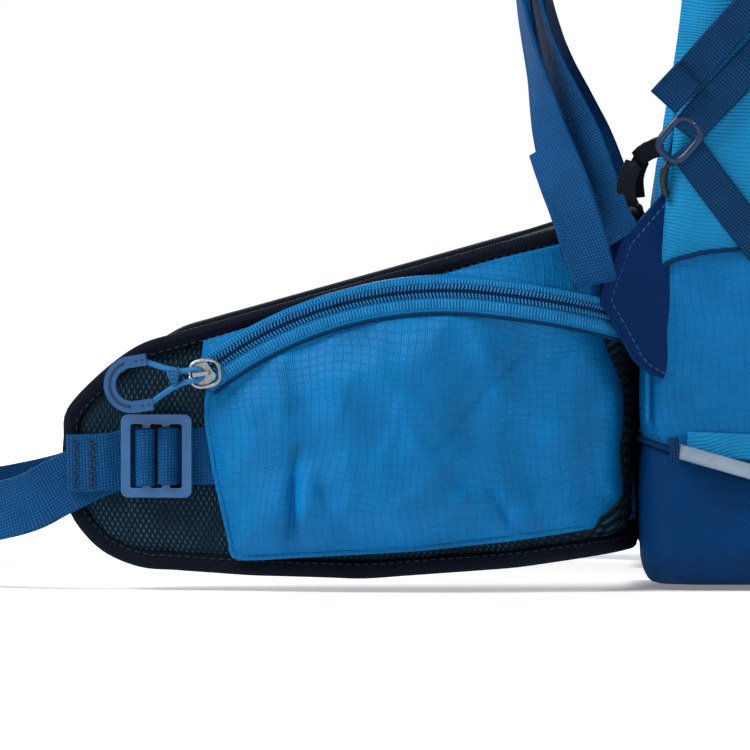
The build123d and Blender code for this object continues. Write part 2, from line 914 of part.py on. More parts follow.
# ---------------------------------------------------------------- sides of the bag
net_shape = bag_body(-net)
swell_root = bag_width / 2 - 1
swell_crest = bag_width / 2 + 22
net_edge = [
    (2, 134),
    (8, 139),
    (22, 142.5),
    (70, 147),
    (190, 147),
    (190, 216),
    (70, 240),
    (22, 330),
    (2, 330),
]


def side_outline(points, x, thick):
    with BuildPart() as block:
        with BuildSketch(side(x)):
            with BuildLine():
                Polyline(*points, close=True)
            make_face()
        extrude(amount=thick)
    return block.part


net_area = side_outline(net_edge, back_seam, 90)
with BuildPart() as side_pocket_left:
    add(net_shape)
    add(net_area, mode=Mode.INTERSECT)
    fill((0, 77, 0), (400, 179, 400), Mode.SUBTRACT)
    for inset, floor in ((0, 130), (net, 152)):
        with BuildSketch(plan(floor)):
            with BuildLine():
                ends = [(swell_root, 70 + 3 * inset), (swell_root, 186 - 3 * inset)]
                ThreePointArc(ends[0], (swell_crest - inset, 128), ends[1])
                Line(*ends)
            make_face()
        extrude(amount=300, mode=Mode.SUBTRACT if inset else Mode.ADD)
    add(net_area, mode=Mode.INTERSECT)
    add(bag, mode=Mode.SUBTRACT)
    add(belt_wing_left.part, mode=Mode.SUBTRACT)

over = bag_width / 2 + net


def side_strap(start, end, width, x, thick):
    with BuildPart() as strap:
        with BuildSketch(side(x)):
            with BuildLine():
                Line(start, end)
            trace(line_width=width)
        extrude(amount=thick)
    return strap.part


with BuildPart() as side_strap_lower_left:
    add(side_strap((ring_depth, ring_height), (46, 144), side_web, over, side_web_thick))

with BuildPart() as side_strap_upper_left:
    over_two = over + side_web_thick
    add(side_strap((ring_depth, ring_height), (152, 350), side_web, over_two, side_web_thick))
    add(side_strap((8.4, 216), (148, 352), side_web, over_two + side_web_thick, side_web_thick))

with BuildPart() as side_ring_left:
    with BuildSketch(side(over_two + side_web_thick)):
        with Locations((ring_depth, ring_height)):
            RectangleRounded(24, 22, 5, rotation=-40)
            RectangleRounded(17, 5.5, 2, rotation=-40, mode=Mode.SUBTRACT)
    extrude(amount=3)

loop_x = bag_width / 2 + patch_thick + loop_dia / 2
pole_run = [(9, 59.5), (52, 47), (90, 38), (114, 58)]
print("bend radii of the pole loop", [round(radius, 1) for radius in bends(pole_run)])
with BuildPart() as pole_loop:
    add(tube(side(loop_x), pole_run, loop_dia))
with BuildPart() as pole_loop_patch:
    fill((bag_width / 2, 14, 53), (bag_width / 2 + patch_thick, 120, 66))

# ---------------------------------------------------------------- handle and flap zip
with BuildPart() as haul_handle:
    with BuildSketch(facing(40)):
        with BuildLine():
            ThreePointArc((-55, bag_height - 1), (0, bag_height + 36), (55, bag_height - 1))
        trace(line_width=3)
    extrude(amount=-22)
    add(bag, mode=Mode.SUBTRACT)

flap_place = Plane(
    origin=door_plane.from_local_coords(Vector(-run_x, door_slider, 0)),
    x_dir=door_plane.y_dir,
    z_dir=door_plane.z_dir,
)
with BuildPart() as flap_slider:
    add(slider(flap_place, cloth, radians(180)))
flap_hinge = pull_plane(flap_place, radians(180))
with BuildPart() as flap_pull:
    with BuildSketch(flap_hinge):
        with Locations((14, 0)):
            RectangleRounded(30.4, 8, 3)
        with Locations((4.2, 0)):
            Rectangle(6, 4, mode=Mode.SUBTRACT)
    extrude(amount=1, both=True)

# ---------------------------------------------------------------- save
pairs = {
    "side_panel": side_panel_left,
    "side_pocket": side_pocket_left,
    "side_strap_upper": side_strap_upper_left,
    "side_strap_lower": side_strap_lower_left,
    "side_ring": side_ring_left,
    "shoulder_strap": shoulder_strap_left,
    "strap_lock": strap_lock_left,
    "strap_web": strap_web_left,
    "sternum_clip": sternum_clip_left,
    "belt_fin": belt_fin_left,
    "belt_binding": belt_binding_left,
    "belt_pocket": belt_pocket_left,
    "belt_zip_chain": belt_zip_chain_left,
    "belt_slider": belt_slider_left,
    "belt_pull_cord": belt_pull_cord_left,
    "belt_pull_tab": belt_pull_tab_left,
    "belt_lock": belt_lock_left,
    "belt_wing": belt_wing_left,
}
singles = {
    "base_panel": base_panel,
    "top_panel": top_panel,
    "back_panel": back_panel,
    "front_panel": front_panel,
    "flap_zip_chain": flap_zip_chain,
    "front_flap": front_flap,
    "front_pocket": front_pocket,
    "flap_slider": flap_slider,
    "flap_pull": flap_pull,
    "frame_sheet": frame_sheet,
    "frame_wire": frame_wire,
    "lumbar_pad": lumbar_pad,
    "back_pad": back_pad,
    "haul_handle": haul_handle,
    "sternum_web_left": sternum_web_left,
    "sternum_web_right": sternum_web_right,
    "sternum_buckle_female": sternum_buckle_female,
    "sternum_buckle_male": sternum_buckle_male,
    "belt_web_left": belt_web_left,
    "belt_web_right": belt_web_right,
    "hip_buckle_female": hip_buckle_female,
    "hip_buckle_male": hip_buckle_male,
    "pole_loop": pole_loop,
    "pole_loop_patch": pole_loop_patch,
}
for name, piece in singles.items():
    piece.part.label = name
    export_step(piece.part, f"parts/{name}.step")
for name, piece in pairs.items():
    for label, part in ((f"{name}_left", piece.part), (f"{name}_right", twin(piece.part))):
        part.label = label
        export_step(part, f"parts/{label}.step")
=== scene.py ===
import json
import math

import bpy
from mathutils import Matrix, Vector, noise

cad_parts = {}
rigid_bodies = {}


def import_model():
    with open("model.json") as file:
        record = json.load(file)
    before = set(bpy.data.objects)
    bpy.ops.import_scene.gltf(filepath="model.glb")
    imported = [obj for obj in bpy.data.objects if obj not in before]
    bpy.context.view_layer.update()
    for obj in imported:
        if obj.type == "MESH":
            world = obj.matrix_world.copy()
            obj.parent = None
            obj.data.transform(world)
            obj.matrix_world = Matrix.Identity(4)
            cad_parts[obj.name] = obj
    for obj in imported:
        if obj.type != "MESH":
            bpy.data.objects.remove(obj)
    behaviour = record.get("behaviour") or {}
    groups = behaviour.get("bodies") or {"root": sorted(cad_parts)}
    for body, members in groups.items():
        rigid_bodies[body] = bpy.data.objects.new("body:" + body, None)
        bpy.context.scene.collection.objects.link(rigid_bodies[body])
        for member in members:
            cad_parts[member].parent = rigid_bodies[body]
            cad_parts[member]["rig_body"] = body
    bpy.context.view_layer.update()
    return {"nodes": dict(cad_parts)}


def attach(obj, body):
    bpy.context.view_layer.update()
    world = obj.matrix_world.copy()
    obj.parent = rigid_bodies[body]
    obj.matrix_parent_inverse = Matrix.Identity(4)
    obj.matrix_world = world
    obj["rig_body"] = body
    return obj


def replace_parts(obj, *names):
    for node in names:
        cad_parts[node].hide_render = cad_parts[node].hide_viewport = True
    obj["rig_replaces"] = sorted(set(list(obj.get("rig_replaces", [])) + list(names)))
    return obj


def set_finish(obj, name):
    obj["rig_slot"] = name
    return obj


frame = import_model()

# Design sizes are in millimetres: wearer's left, depth from the back panel, height.
BACK = -110


def at(x, depth, z):
    return Vector((x / 1000, (depth + BACK) / 1000, z / 1000))


def lerp(a, b, t):
    return a + (b - a) * t


def ease(t):
    t = min(max(t, 0), 1)
    return t * t * (3 - 2 * t)


def table(points, x):
    """Value at x of the smooth curve through (x, value) points."""
    for (a, p), (b, q) in zip(points, points[1:]):
        if x <= b:
            return lerp(p, q, ease((x - a) / (b - a)))
    return points[-1][1]


def line(points, x):
    """Value at x of the straight lines through (x, value) points."""
    if x <= points[0][0]:
        return points[0][1]
    for (a, p), (b, q) in zip(points, points[1:]):
        if x <= b:
            return lerp(p, q, (x - a) / (b - a))
    return points[-1][1]


def smooth(points, step=3.0):
    """Points a step apart, in millimetres, on the smooth curve through points."""
    pts = [Vector(p) for p in points]
    ends = [pts[0] * 2 - pts[1], *pts, pts[-1] * 2 - pts[-2]]
    out = []
    for a, b, c, d in zip(ends, ends[1:], ends[2:], ends[3:]):
        count = max(2, round((c - b).length / step))
        for i in range(count):
            t = i / count
            out.append(0.5 * (2 * b + (c - a) * t + (2 * a - 5 * b + 4 * c - d) * t * t + (3 * b - a - 3 * c + d) * t ** 3))
    out.append(pts[-1])
    return out


# ------------------------------------------------------------------ camera
scene = bpy.context.scene
camera = bpy.data.objects.new("camera", bpy.data.cameras.new("camera"))
scene.collection.objects.link(camera)
view_middle = Vector((0.175, -0.226, 0.091))
distance = 4.6
elevation = math.radians(1.5)
swing = math.radians(2)
camera.location = view_middle + distance * Vector(
    (math.cos(elevation) * math.cos(swing), math.cos(elevation) * math.sin(swing), math.sin(elevation))
)
camera.rotation_euler = (math.pi / 2 - elevation, 0, math.pi / 2 + swing)
camera.data.sensor_width = 36
camera.data.lens = 36 * distance / 0.315
camera.data.clip_end = 30
scene.camera = camera
scene.view_settings.view_transform = "Standard"


# ------------------------------------------------------------------ materials
class Finish:
    """A material of shader nodes, with short ways to write sums in it."""

    def __init__(self, name, rough=0.7, metallic=0.0, specular=0.4, sheen=0.0, coat=0.0, through=0.0, ior=1.45, warp=0.0):
        self.mat = bpy.data.materials.new(name)
        self.mat.use_nodes = True
        self.tree = self.mat.node_tree
        self.shader = self.tree.nodes["Principled BSDF"]
        self.put("Roughness", rough)
        self.put("Metallic", metallic)
        self.put("Specular IOR Level", specular)
        self.put("Sheen Weight", sheen)
        self.put("Coat Weight", coat)
        self.put("Transmission Weight", through)
        self.put("IOR", ior)
        self.where = self.node("ShaderNodeTexCoord")
        place = self.node("ShaderNodeVectorMath", operation="SCALE")
        place.inputs["Scale"].default_value = 1000
        self.tree.links.new(self.where.outputs["Object"], place.inputs[0])
        self.place = place.outputs[0]
        if warp:
            scaled = self.node("ShaderNodeVectorMath", operation="SCALE")
            scaled.inputs["Scale"].default_value = 1 / 45
            self.tree.links.new(self.place, scaled.inputs[0])
            drift = self.node("ShaderNodeTexNoise")
            drift.inputs["Scale"].default_value = 1
            drift.inputs["Detail"].default_value = 1
            self.tree.links.new(scaled.outputs[0], drift.inputs["Vector"])
            centred = self.node("ShaderNodeVectorMath", operation="SUBTRACT")
            self.tree.links.new(drift.outputs["Color"], centred.inputs[0])
            centred.inputs[1].default_value = (0.5, 0.5, 0.5)
            pushed = self.node("ShaderNodeVectorMath", operation="SCALE")
            pushed.inputs["Scale"].default_value = warp
            self.tree.links.new(centred.outputs[0], pushed.inputs[0])
            moved = self.node("ShaderNodeVectorMath", operation="ADD")
            self.tree.links.new(self.place, moved.inputs[0])
            self.tree.links.new(pushed.outputs[0], moved.inputs[1])
            self.place = moved.outputs[0]
        self.x, self.y, self.z = self.split(self.place)
        self.nx, self.ny, self.nz = [self.math("ABSOLUTE", s) for s in self.split(self.where.outputs["Normal"])]
        lay = self.node("ShaderNodeAttribute", attribute_name="lay")
        self.u, self.v, _ = self.split(lay.outputs["Vector"])

    def node(self, kind, **settings):
        made = self.tree.nodes.new(kind)
        for key, value in settings.items():
            setattr(made, key, value)
        return made

    def put(self, socket, value):
        into = self.shader.inputs[socket]
        if isinstance(value, bpy.types.NodeSocket):
            self.tree.links.new(value, into)
        else:
            into.default_value = value

    def feed(self, socket, value):
        if isinstance(value, bpy.types.NodeSocket):
            self.tree.links.new(value, socket)
        else:
            socket.default_value = value

    def split(self, vector):
        parts = self.node("ShaderNodeSeparateXYZ")
        self.tree.links.new(vector, parts.inputs[0])
        return parts.outputs[0], parts.outputs[1], parts.outputs[2]

    def math(self, operation, a, b=0.0, clamp=False):
        made = self.node("ShaderNodeMath", operation=operation, use_clamp=clamp)
        self.feed(made.inputs[0], a)
        self.feed(made.inputs[1], b)
        return made.outputs[0]

    def sum(self, *parts):
        total = parts[0]
        for part in parts[1:]:
            total = self.math("ADD", total, part)
        return total

    def times(self, a, b):
        return self.math("MULTIPLY", a, b)

    def wave(self, along, period, sharp=1.0):
        """0 to 1, highest at each multiple of the period."""
        turned = self.math("COSINE", self.times(along, 2 * math.pi / period))
        level = self.sum(self.times(turned, 0.5), 0.5)
        return level if sharp == 1 else self.math("POWER", level, sharp)

    def facing(self, normal):
        """1 where the surface doesn't face along that axis."""
        return self.math("LESS_THAN", normal, 0.72)

    def grid(self, period, sharp):
        """Lines across all three axes, each left out where the cloth faces that way."""
        level = self.times(self.wave(self.x, period, sharp), self.facing(self.nx))
        for along, normal in ((self.y, self.ny), (self.z, self.nz)):
            level = self.math("MAXIMUM", level, self.times(self.wave(along, period, sharp), self.facing(normal)))
        return level

    def weave(self, period):
        level = self.times(self.wave(self.x, period), self.facing(self.nx))
        level = self.sum(level, self.times(self.wave(self.y, period), self.facing(self.ny)))
        return self.sum(level, self.times(self.wave(self.z, period), self.facing(self.nz)))

    def clouds(self, size, detail=3, stretch=(1, 1, 1)):
        """Soft noise, 0 to 1, with lumps of about that size in millimetres."""
        scaled = self.node("ShaderNodeVectorMath", operation="MULTIPLY")
        self.tree.links.new(self.place, scaled.inputs[0])
        scaled.inputs[1].default_value = [s / size for s in stretch]
        made = self.node("ShaderNodeTexNoise")
        made.inputs["Scale"].default_value = 1
        made.inputs["Detail"].default_value = detail
        self.tree.links.new(scaled.outputs[0], made.inputs["Vector"])
        return made.outputs[0]

    def mix(self, share, a, b):
        made = self.node("ShaderNodeMix", data_type="RGBA")
        self.feed(made.inputs[0], share)
        for socket, value in ((made.inputs[6], a), (made.inputs[7], b)):
            self.feed(socket, (*value, 1) if isinstance(value, tuple) else value)
        return made.outputs[2]

    def bump(self, *layers):
        """Bump layers, each a height from 0 to 1 and its size in millimetres."""
        last = None
        for height, size in layers:
            made = self.node("ShaderNodeBump")
            made.inputs["Distance"].default_value = size / 1000
            made.inputs["Strength"].default_value = 1
            self.tree.links.new(height, made.inputs["Height"])
            if last:
                self.tree.links.new(last, made.inputs["Normal"])
            last = made.outputs[0]
        self.put("Normal", last)
        return self.mat

    def level(self, value, low, high):
        made = self.node("ShaderNodeMapRange", clamp=True)
        self.feed(made.inputs[0], value)
        made.inputs[1].default_value = low
        made.inputs[2].default_value = high
        return made.outputs[0]


def shade(colour, by):
    return tuple(min(c * by, 1) for c in colour)


def rgb(code):
    """Linear colour of a hex code."""
    parts = [int(code[i:i + 2], 16) / 255 for i in (0, 2, 4)]
    return tuple(p / 12.92 if p < 0.04045 else ((p + 0.055) / 1.055) ** 2.4 for p in parts)


def ripstop(name, colour, gloss=0.5):
    f = Finish(name, rough=gloss, specular=0.14, warp=16)
    grid = f.grid(3.4, 14)
    worn = f.level(f.clouds(26, 4), 0.35, 0.7)
    base = f.mix(worn, shade(colour, 0.82), shade(colour, 1.12))
    f.put("Base Color", f.mix(f.times(grid, 0.26), base, shade(colour, 0.6)))
    return f.bump((f.weave(0.85), 0.05), (grid, 0.12), (f.clouds(9, 3), 0.5))


def twill(name, colour):
    f = Finish(name, rough=0.6, specular=0.08)
    ribs = f.wave(f.sum(f.x, f.y, f.z), 1.7)
    worn = f.level(f.clouds(34, 4), 0.35, 0.7)
    base = f.mix(worn, shade(colour, 0.8), shade(colour, 1.2))
    f.put("Base Color", f.mix(f.times(ribs, 0.3), base, shade(colour, 0.6)))
    return f.bump((ribs, 0.08), (f.clouds(12, 3), 0.6))


def net_cloth(name, colour):
    f = Finish(name, rough=0.72, specular=0.1, warp=18)
    rows = f.wave(f.z, 1.5, 1.6)
    holes = f.times(rows, f.wave(f.sum(f.y, f.x), 1.3))
    base = f.mix(f.level(f.clouds(30, 3), 0.3, 0.7), shade(colour, 0.85), shade(colour, 1.1))
    f.put("Base Color", f.mix(f.times(rows, 0.34), base, shade(colour, 0.5)))
    return f.bump((rows, 0.18), (holes, 0.12), (f.clouds(14, 3), 0.4))


def spacer(name, ground, highlight):
    f = Finish(name, rough=0.85, specular=0.08)
    up = f.sum(f.z, f.times(f.x, 0.5))
    along = f.sum(f.y, f.times(f.x, 0.7))
    first = f.wave(f.sum(along, f.times(up, 0.6)), 2.6)
    second = f.wave(f.math("SUBTRACT", along, f.times(up, 0.6)), 2.6)
    cells = f.times(first, second)
    # Painted highlight: the light colour is laid in patches on the crests of the cells, and the gaps between the cells
    # are darkened as painted shade of the hollows.
    lit = f.times(f.level(cells, 0.35, 0.8), f.level(f.clouds(16, 3), 0.4, 0.62))
    f.put("Base Color", f.mix(f.times(lit, 0.75), f.mix(f.level(cells, 0, 0.4), shade(ground, 0.4), ground), highlight))
    return f.bump((cells, 0.5), (f.weave(1.1), 0.08))


def strap_cloth(name, colour, light=1.0):
    f = Finish(name, rough=0.62, specular=0.12)
    ribs = f.wave(f.u, 1.35)
    rows = f.wave(f.sum(f.v, f.times(f.u, 0.12)), 1.3)
    cells = f.times(ribs, rows)
    worn = f.level(f.clouds(14, 4), 0.35, 0.65)
    base = f.mix(worn, shade(colour, 0.9 * light), shade(colour, 1.2 * light))
    f.put("Base Color", f.mix(f.level(cells, 0.5, 0.02), base, shade(colour, 0.42 * light)))
    return f.bump((cells, 0.3), (f.clouds(5, 2), 0.15))


def tape_cloth(name, colour):
    f = Finish(name, rough=0.75, specular=0.1)
    ribs = f.wave(f.u, 1.2)
    f.put("Base Color", f.mix(f.times(ribs, 0.5), colour, shade(colour, 0.5)))
    return f.bump((ribs, 0.18), (f.wave(f.v, 1.0), 0.08), (f.clouds(7, 2), 0.2))


def moulded(name, colour, rough=0.35, through=0.0, coat=0.0):
    f = Finish(name, rough=rough, specular=0.5, through=through, coat=coat)
    worn = f.level(f.clouds(7, 4), 0.3, 0.7)
    f.put("Base Color", f.mix(worn, shade(colour, 0.9), shade(colour, 1.08)))
    f.put("Roughness", f.sum(rough - 0.06, f.times(f.clouds(2.5, 3), 0.14)))
    return f.bump((f.clouds(0.8, 2), 0.03), (f.clouds(6, 2), 0.06))


def metal(name, colour, rough=0.3):
    f = Finish(name, rough=rough, metallic=1.0)
    worn = f.level(f.clouds(2.2, 4), 0.35, 0.7)
    f.put("Base Color", f.mix(worn, shade(colour, 0.75), colour))
    f.put("Roughness", f.sum(rough - 0.08, f.times(f.clouds(1.2, 3), 0.25)))
    return f.bump((f.clouds(0.9, 3), 0.04))


blue = ripstop("bag_ripstop", rgb("006aa8"))
pocket_blue = ripstop("pocket_ripstop", rgb("006eac"))
base_blue = twill("bottom_twill", rgb("013566"))
stretch = net_cloth("stretch_net", rgb("1a86bd"))
# The second colour is the painted highlight on the crests of the spacer mesh's cells.
mesh_cloth = spacer("spacer_mesh", rgb("1c3141"), rgb("32646f"))
edge_tape = tape_cloth("binding_tape", rgb("0a1220"))
seam_tape = tape_cloth("seam_tape", rgb("06335a"))
zip_tape = tape_cloth("zip_tape", rgb("0772ae"))
zip_coil = moulded("zip_coil", rgb("096ca6"), 0.45)
thread = moulded("thread", rgb("0c1a29"), 0.6)
blue_thread = moulded("blue_thread", rgb("0a5288"), 0.6)
light_thread = moulded("light_thread", rgb("0a7cb8"), 0.7)
# Darker plastic laid in the pull tab's slots and groove: painted shade.
slot_shade_plastic = moulded("slot_shade_plastic", rgb("082b4d"), 0.5)
ring_plastic = moulded("ring_plastic", rgb("0a2b50"), 0.34)
strap_blue = strap_cloth("webbing_blue", rgb("0b5590"))
strap_dark = strap_cloth("webbing_dark", rgb("04406f"))
strap_black = strap_cloth("webbing_black", rgb("141a22"))
lock_plastic = moulded("lock_plastic", rgb("285d92"), 0.3, 0.0, 0.1)
black_plastic = moulded("black_plastic", rgb("14171c"), 0.38)
pull_plastic = moulded("pull_plastic", rgb("0f4f85"), 0.32, 0.0, 0.1)
slider_metal = metal("slider_metal", rgb("a8adb2"), 0.28)
cord_cloth = strap_cloth("cord_cloth", rgb("2a6fa6"))
clear_tube = moulded("clear_tube", rgb("b9cde0"), 0.16, 0.55, 0.4)
wing_cloth = twill("wing_twill", rgb("052c60"))
frame_plastic = moulded("frame_plastic", rgb("22262b"), 0.5)
frame_metal = metal("frame_metal", rgb("9a9da0"), 0.35)


# ------------------------------------------------------------------ mesh tools
def fresh(name):
    """A name that no CAD node has."""
    return name + "_soft" if name in frame["nodes"] else name


def new_mesh(name, verts, faces, material, lay=None, smooth_faces=True):
    name = fresh(name)
    data = bpy.data.meshes.new(name)
    data.from_pydata([tuple(v) for v in verts], [], faces)
    data.update()
    for m in material if isinstance(material, list) else [material]:
        data.materials.append(m)
    if lay:
        held = data.attributes.new("lay", "FLOAT_VECTOR", "POINT")
        held.data.foreach_set("vector", [c for p in lay for c in (p[0], p[1], 0.0)])
    if smooth_faces:
        for face in data.polygons:
            face.use_smooth = True
    obj = bpy.data.objects.new(name, data)
    scene.collection.objects.link(obj)
    return obj


def recalc(obj):
    import bmesh
    bm = bmesh.new()
    bm.from_mesh(obj.data)
    bmesh.ops.recalc_face_normals(bm, faces=bm.faces)
    bm.to_mesh(obj.data)
    bm.free()
    return obj


def cloth_grid(name, rows, material, thick=1.0, ring=False, keep=None, levels=1, inward=True, lay=None):
    """Sheet of cloth through rows of points in metres, given a thickness in millimetres."""
    count = len(rows[0])
    verts = [p for row in rows for p in row]
    faces = []
    for i in range(len(rows) - 1):
        for j in range(count if ring else count - 1):
            k = (j + 1) % count
            quad = (i * count + j, i * count + k, (i + 1) * count + k, (i + 1) * count + j)
            if keep is None or keep(sum((verts[q] for q in quad), Vector()) / 4):
                faces.append(quad)
    if lay is None:
        lay = []
        for i, row in enumerate(rows):
            run = 0
            for j, p in enumerate(row):
                if j:
                    run += (p - row[j - 1]).length * 1000
                lay.append((run, (rows[i][j] - rows[0][j]).length * 1000))
    obj = new_mesh(name, verts, faces, material, lay)
    body = obj.modifiers.new("thick", "SOLIDIFY")
    body.thickness = thick / 1000
    body.offset = -1 if inward else 1
    if levels:
        soft = obj.modifiers.new("soft", "SUBSURF")
        soft.levels = levels
        soft.render_levels = levels
    return obj


def sweep(name, path, across, section, material, ends=True):
    """Section of (across, out) millimetres carried along a path of design points."""
    pts = [Vector(p) for p in path]
    if not isinstance(across, list):
        across = [across] * len(pts)
    verts, lay, faces = [], [], []
    run = 0
    count = len(section)
    round_by = [0]
    for a, b in zip(section, section[1:]):
        round_by.append(round_by[-1] + math.hypot(b[0] - a[0], b[1] - a[1]))
    for i, p in enumerate(pts):
        along = (pts[min(i + 1, len(pts) - 1)] - pts[max(i - 1, 0)]).normalized()
        wide = Vector(across[i])
        wide = (wide - along * wide.dot(along)).normalized()
        out = wide.cross(along)
        if i:
            run += (p - pts[i - 1]).length
        for (w, n), v in zip(section, round_by):
            verts.append(at(*(p + wide * w + out * n)))
            lay.append((run, v))
    for i in range(len(pts) - 1):
        for j in range(count):
            k = (j + 1) % count
            faces.append((i * count + j, i * count + k, (i + 1) * count + k, (i + 1) * count + j))
    if ends:
        faces.append(tuple(range(count)))
        faces.append(tuple(reversed(range((len(pts) - 1) * count, len(pts) * count))))
    obj = new_mesh(name, verts, faces, material, lay)
    return recalc(obj)


def flat_section(width, thick):
    """Woven strap: flat, with rounded and slightly thicker edges."""
    half, t = width / 2, thick / 2
    top = [(-half, 0), (-half + 0.3, t * 0.8), (-half + 0.9, t * 1.1), (-half + 1.6, t * 0.9), (-half * 0.5, t * 0.92),
           (0, t * 0.95), (half * 0.5, t * 0.92), (half - 1.6, t * 0.9), (half - 0.9, t * 1.1), (half - 0.3, t * 0.8)]
    return top + [(-w, -n) for w, n in top]


def round_section(radius, sides=10):
    return [(radius * math.cos(a), radius * math.sin(a)) for a in [2 * math.pi * i / sides for i in range(sides)]]


def box_section(width, thick, corner):
    half, t, c = width / 2, thick / 2, corner
    pts = []
    for sx, sy, start in ((1, 1, 0), (-1, 1, 90), (-1, -1, 180), (1, -1, 270)):
        for step in range(4):
            a = math.radians(start + 30 * step)
            pts.append((sx * (half - c) + c * math.cos(a), sy * (t - c) + c * math.sin(a)))
    return pts


def strap(name, points, width, thick, across, material, body, node=(), slot="webbing", step=3.0):
    path = smooth(points, step)
    if isinstance(across, list):
        spread = []
        n = len(points) - 1
        for i in range(len(path)):
            t = i / (len(path) - 1) * n
            k = min(int(t), n - 1)
            spread.append(Vector(across[k]).lerp(Vector(across[k + 1]), t - k))
        across = spread
    obj = sweep(name, path, across, flat_section(width, thick), material)
    return settle(obj, body, node, slot)


def settle(obj, body, nodes=(), slot=None):
    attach(obj, body)
    if nodes:
        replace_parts(obj, *([nodes] if isinstance(nodes, str) else nodes))
    if slot:
        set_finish(obj, slot)
    return obj


def mirrored(obj, body=None, nodes=(), slot=None):
    """The same piece on the wearer's right; _left in names becomes _right."""
    data = obj.data.copy()
    data.transform(Matrix.Scale(-1, 4, (1, 0, 0)))
    data.flip_normals()
    twin = bpy.data.objects.new(obj.name.replace("_left", "_right"), data)
    scene.collection.objects.link(twin)
    for m in obj.modifiers:
        copy = twin.modifiers.new(m.name, m.type)
        for key in ("thickness", "offset", "levels", "render_levels", "width", "segments"):
            if hasattr(m, key):
                setattr(copy, key, getattr(m, key))
    body = body or obj["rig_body"].replace("_left", "_right")
    nodes = nodes or [n.replace("_left", "_right") for n in obj.get("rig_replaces", [])]
    return settle(twin, body, nodes, slot or obj.get("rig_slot"))


def dashes(name, path, normals, material, body, long=2.4, gap=1.1, wide=0.55, high=0.35, turn=0.0, both=True):
    """Row of stitches along a path of design points, standing on the cloth."""
    verts, faces = [], []
    pts = [Vector(p) for p in path]
    outs = [Vector(n).normalized() for n in normals] if isinstance(normals, list) else [Vector(normals).normalized()] * len(pts)
    runs = [0]
    for a, b in zip(pts, pts[1:]):
        runs.append(runs[-1] + (b - a).length)
    start, k = 0.0, 0
    while start + long < runs[-1]:
        middle = start + long / 2
        while k < len(pts) - 2 and runs[k + 1] < middle:
            k += 1
        t = (middle - runs[k]) / max(runs[k + 1] - runs[k], 1e-6)
        p = pts[k].lerp(pts[k + 1], t)
        out = outs[k].lerp(outs[k + 1], t).normalized()
        along = (pts[k + 1] - pts[k]).normalized()
        side = out.cross(along).normalized()
        along = side.cross(out)
        if turn:
            along, side = along * math.cos(turn) + side * math.sin(turn), side * math.cos(turn) - along * math.sin(turn)
        base = len(verts)
        for a, s, o in ((-0.5, -0.5, 0), (0.5, -0.5, 0), (0.5, 0.5, 0), (-0.5, 0.5, 0),
                        (-0.32, -0.28, 1), (0.32, -0.28, 1), (0.32, 0.28, 1), (-0.32, 0.28, 1)):
            verts.append(at(*(p + along * a * long + side * s * wide + out * (o * high - 0.1))))
        for f in ((3, 2, 1, 0), (4, 5, 6, 7), (0, 1, 5, 4), (1, 2, 6, 5), (2, 3, 7, 6), (3, 0, 4, 7)):
            faces.append(tuple(base + q for q in f))
        start += long + gap
    obj = new_mesh(name, verts, faces, material)
    settle(obj, body)
    if both:
        mirrored(obj)
    return obj


def bevelled(node, material, width=0.5, slot=None):
    obj = frame["nodes"][node]
    obj.data.materials.clear()
    obj.data.materials.append(material)
    if width:
        edge = obj.modifiers.new("edge", "BEVEL")
        edge.width = width / 1000
        edge.segments = 2
        edge.limit_method = "ANGLE"
        edge.angle_limit = math.radians(40)
        edge.use_clamp_overlap = True
    return obj


def puffed(obj, voxel, pressure, cap):
    """Voxel remesh and cloth under pressure; no point moves further than the cap."""
    bpy.context.view_layer.objects.active = obj
    for other in bpy.context.selected_objects:
        other.select_set(False)
    obj.select_set(True)
    remesh = obj.modifiers.new("remesh", "REMESH")
    remesh.mode = "VOXEL"
    remesh.voxel_size = voxel / 1000
    bpy.ops.object.modifier_apply(modifier=remesh.name)
    for face in obj.data.polygons:
        face.use_smooth = True
    rest = [v.co.copy() for v in obj.data.vertices]
    cloth = obj.modifiers.new("cloth", "CLOTH")
    cloth.settings.use_pressure = True
    cloth.settings.uniform_pressure_force = pressure
    cloth.settings.effector_weights.gravity = 0
    cloth.settings.quality = 4
    for number in range(1, 21):
        scene.frame_set(number)
    bpy.ops.object.modifier_apply(modifier=cloth.name)
    scene.frame_set(1)
    for v, p in zip(obj.data.vertices, rest):
        move = v.co - p
        if move.length > cap / 1000:
            v.co = p + move * (cap / 1000 / move.length)
    soft = obj.modifiers.new("soft", "SUBSURF")
    soft.levels = 1
    soft.render_levels = 1
    return obj


def node_copy(node, name, material):
    data = frame["nodes"][node].data.copy()
    data.materials.clear()
    data.materials.append(material)
    obj = bpy.data.objects.new(name, data)
    scene.collection.objects.link(obj)
    return obj


# ------------------------------------------------------------------ the bag's shape
def back_line(z):
    return table([(0, -5), (112, -5), (270, 15), (330, 15), (640, 6)], z)


def front_line(z):
    return line([(0, 222), (20, 230), (70, 239.5), (640, 196)], z)


def half_width(z):
    return line([(0, 156), (12, 160), (420, 160), (520, 149), (640, 136)], z)


def side_face(depth, z):
    """x of the bag's side at that depth and height, rounded at its front and back."""
    half = half_width(z)
    back, front = back_line(z), front_line(z)
    if depth < back + 16:
        gap = max(0, back + 16 - depth)
        return half - 16 + math.sqrt(max(0, 256 - gap * gap))
    if depth > front - 50:
        gap = min(50, depth - front + 50)
        return half - 50 + math.sqrt(max(0, 2500 - gap * gap))
    return half


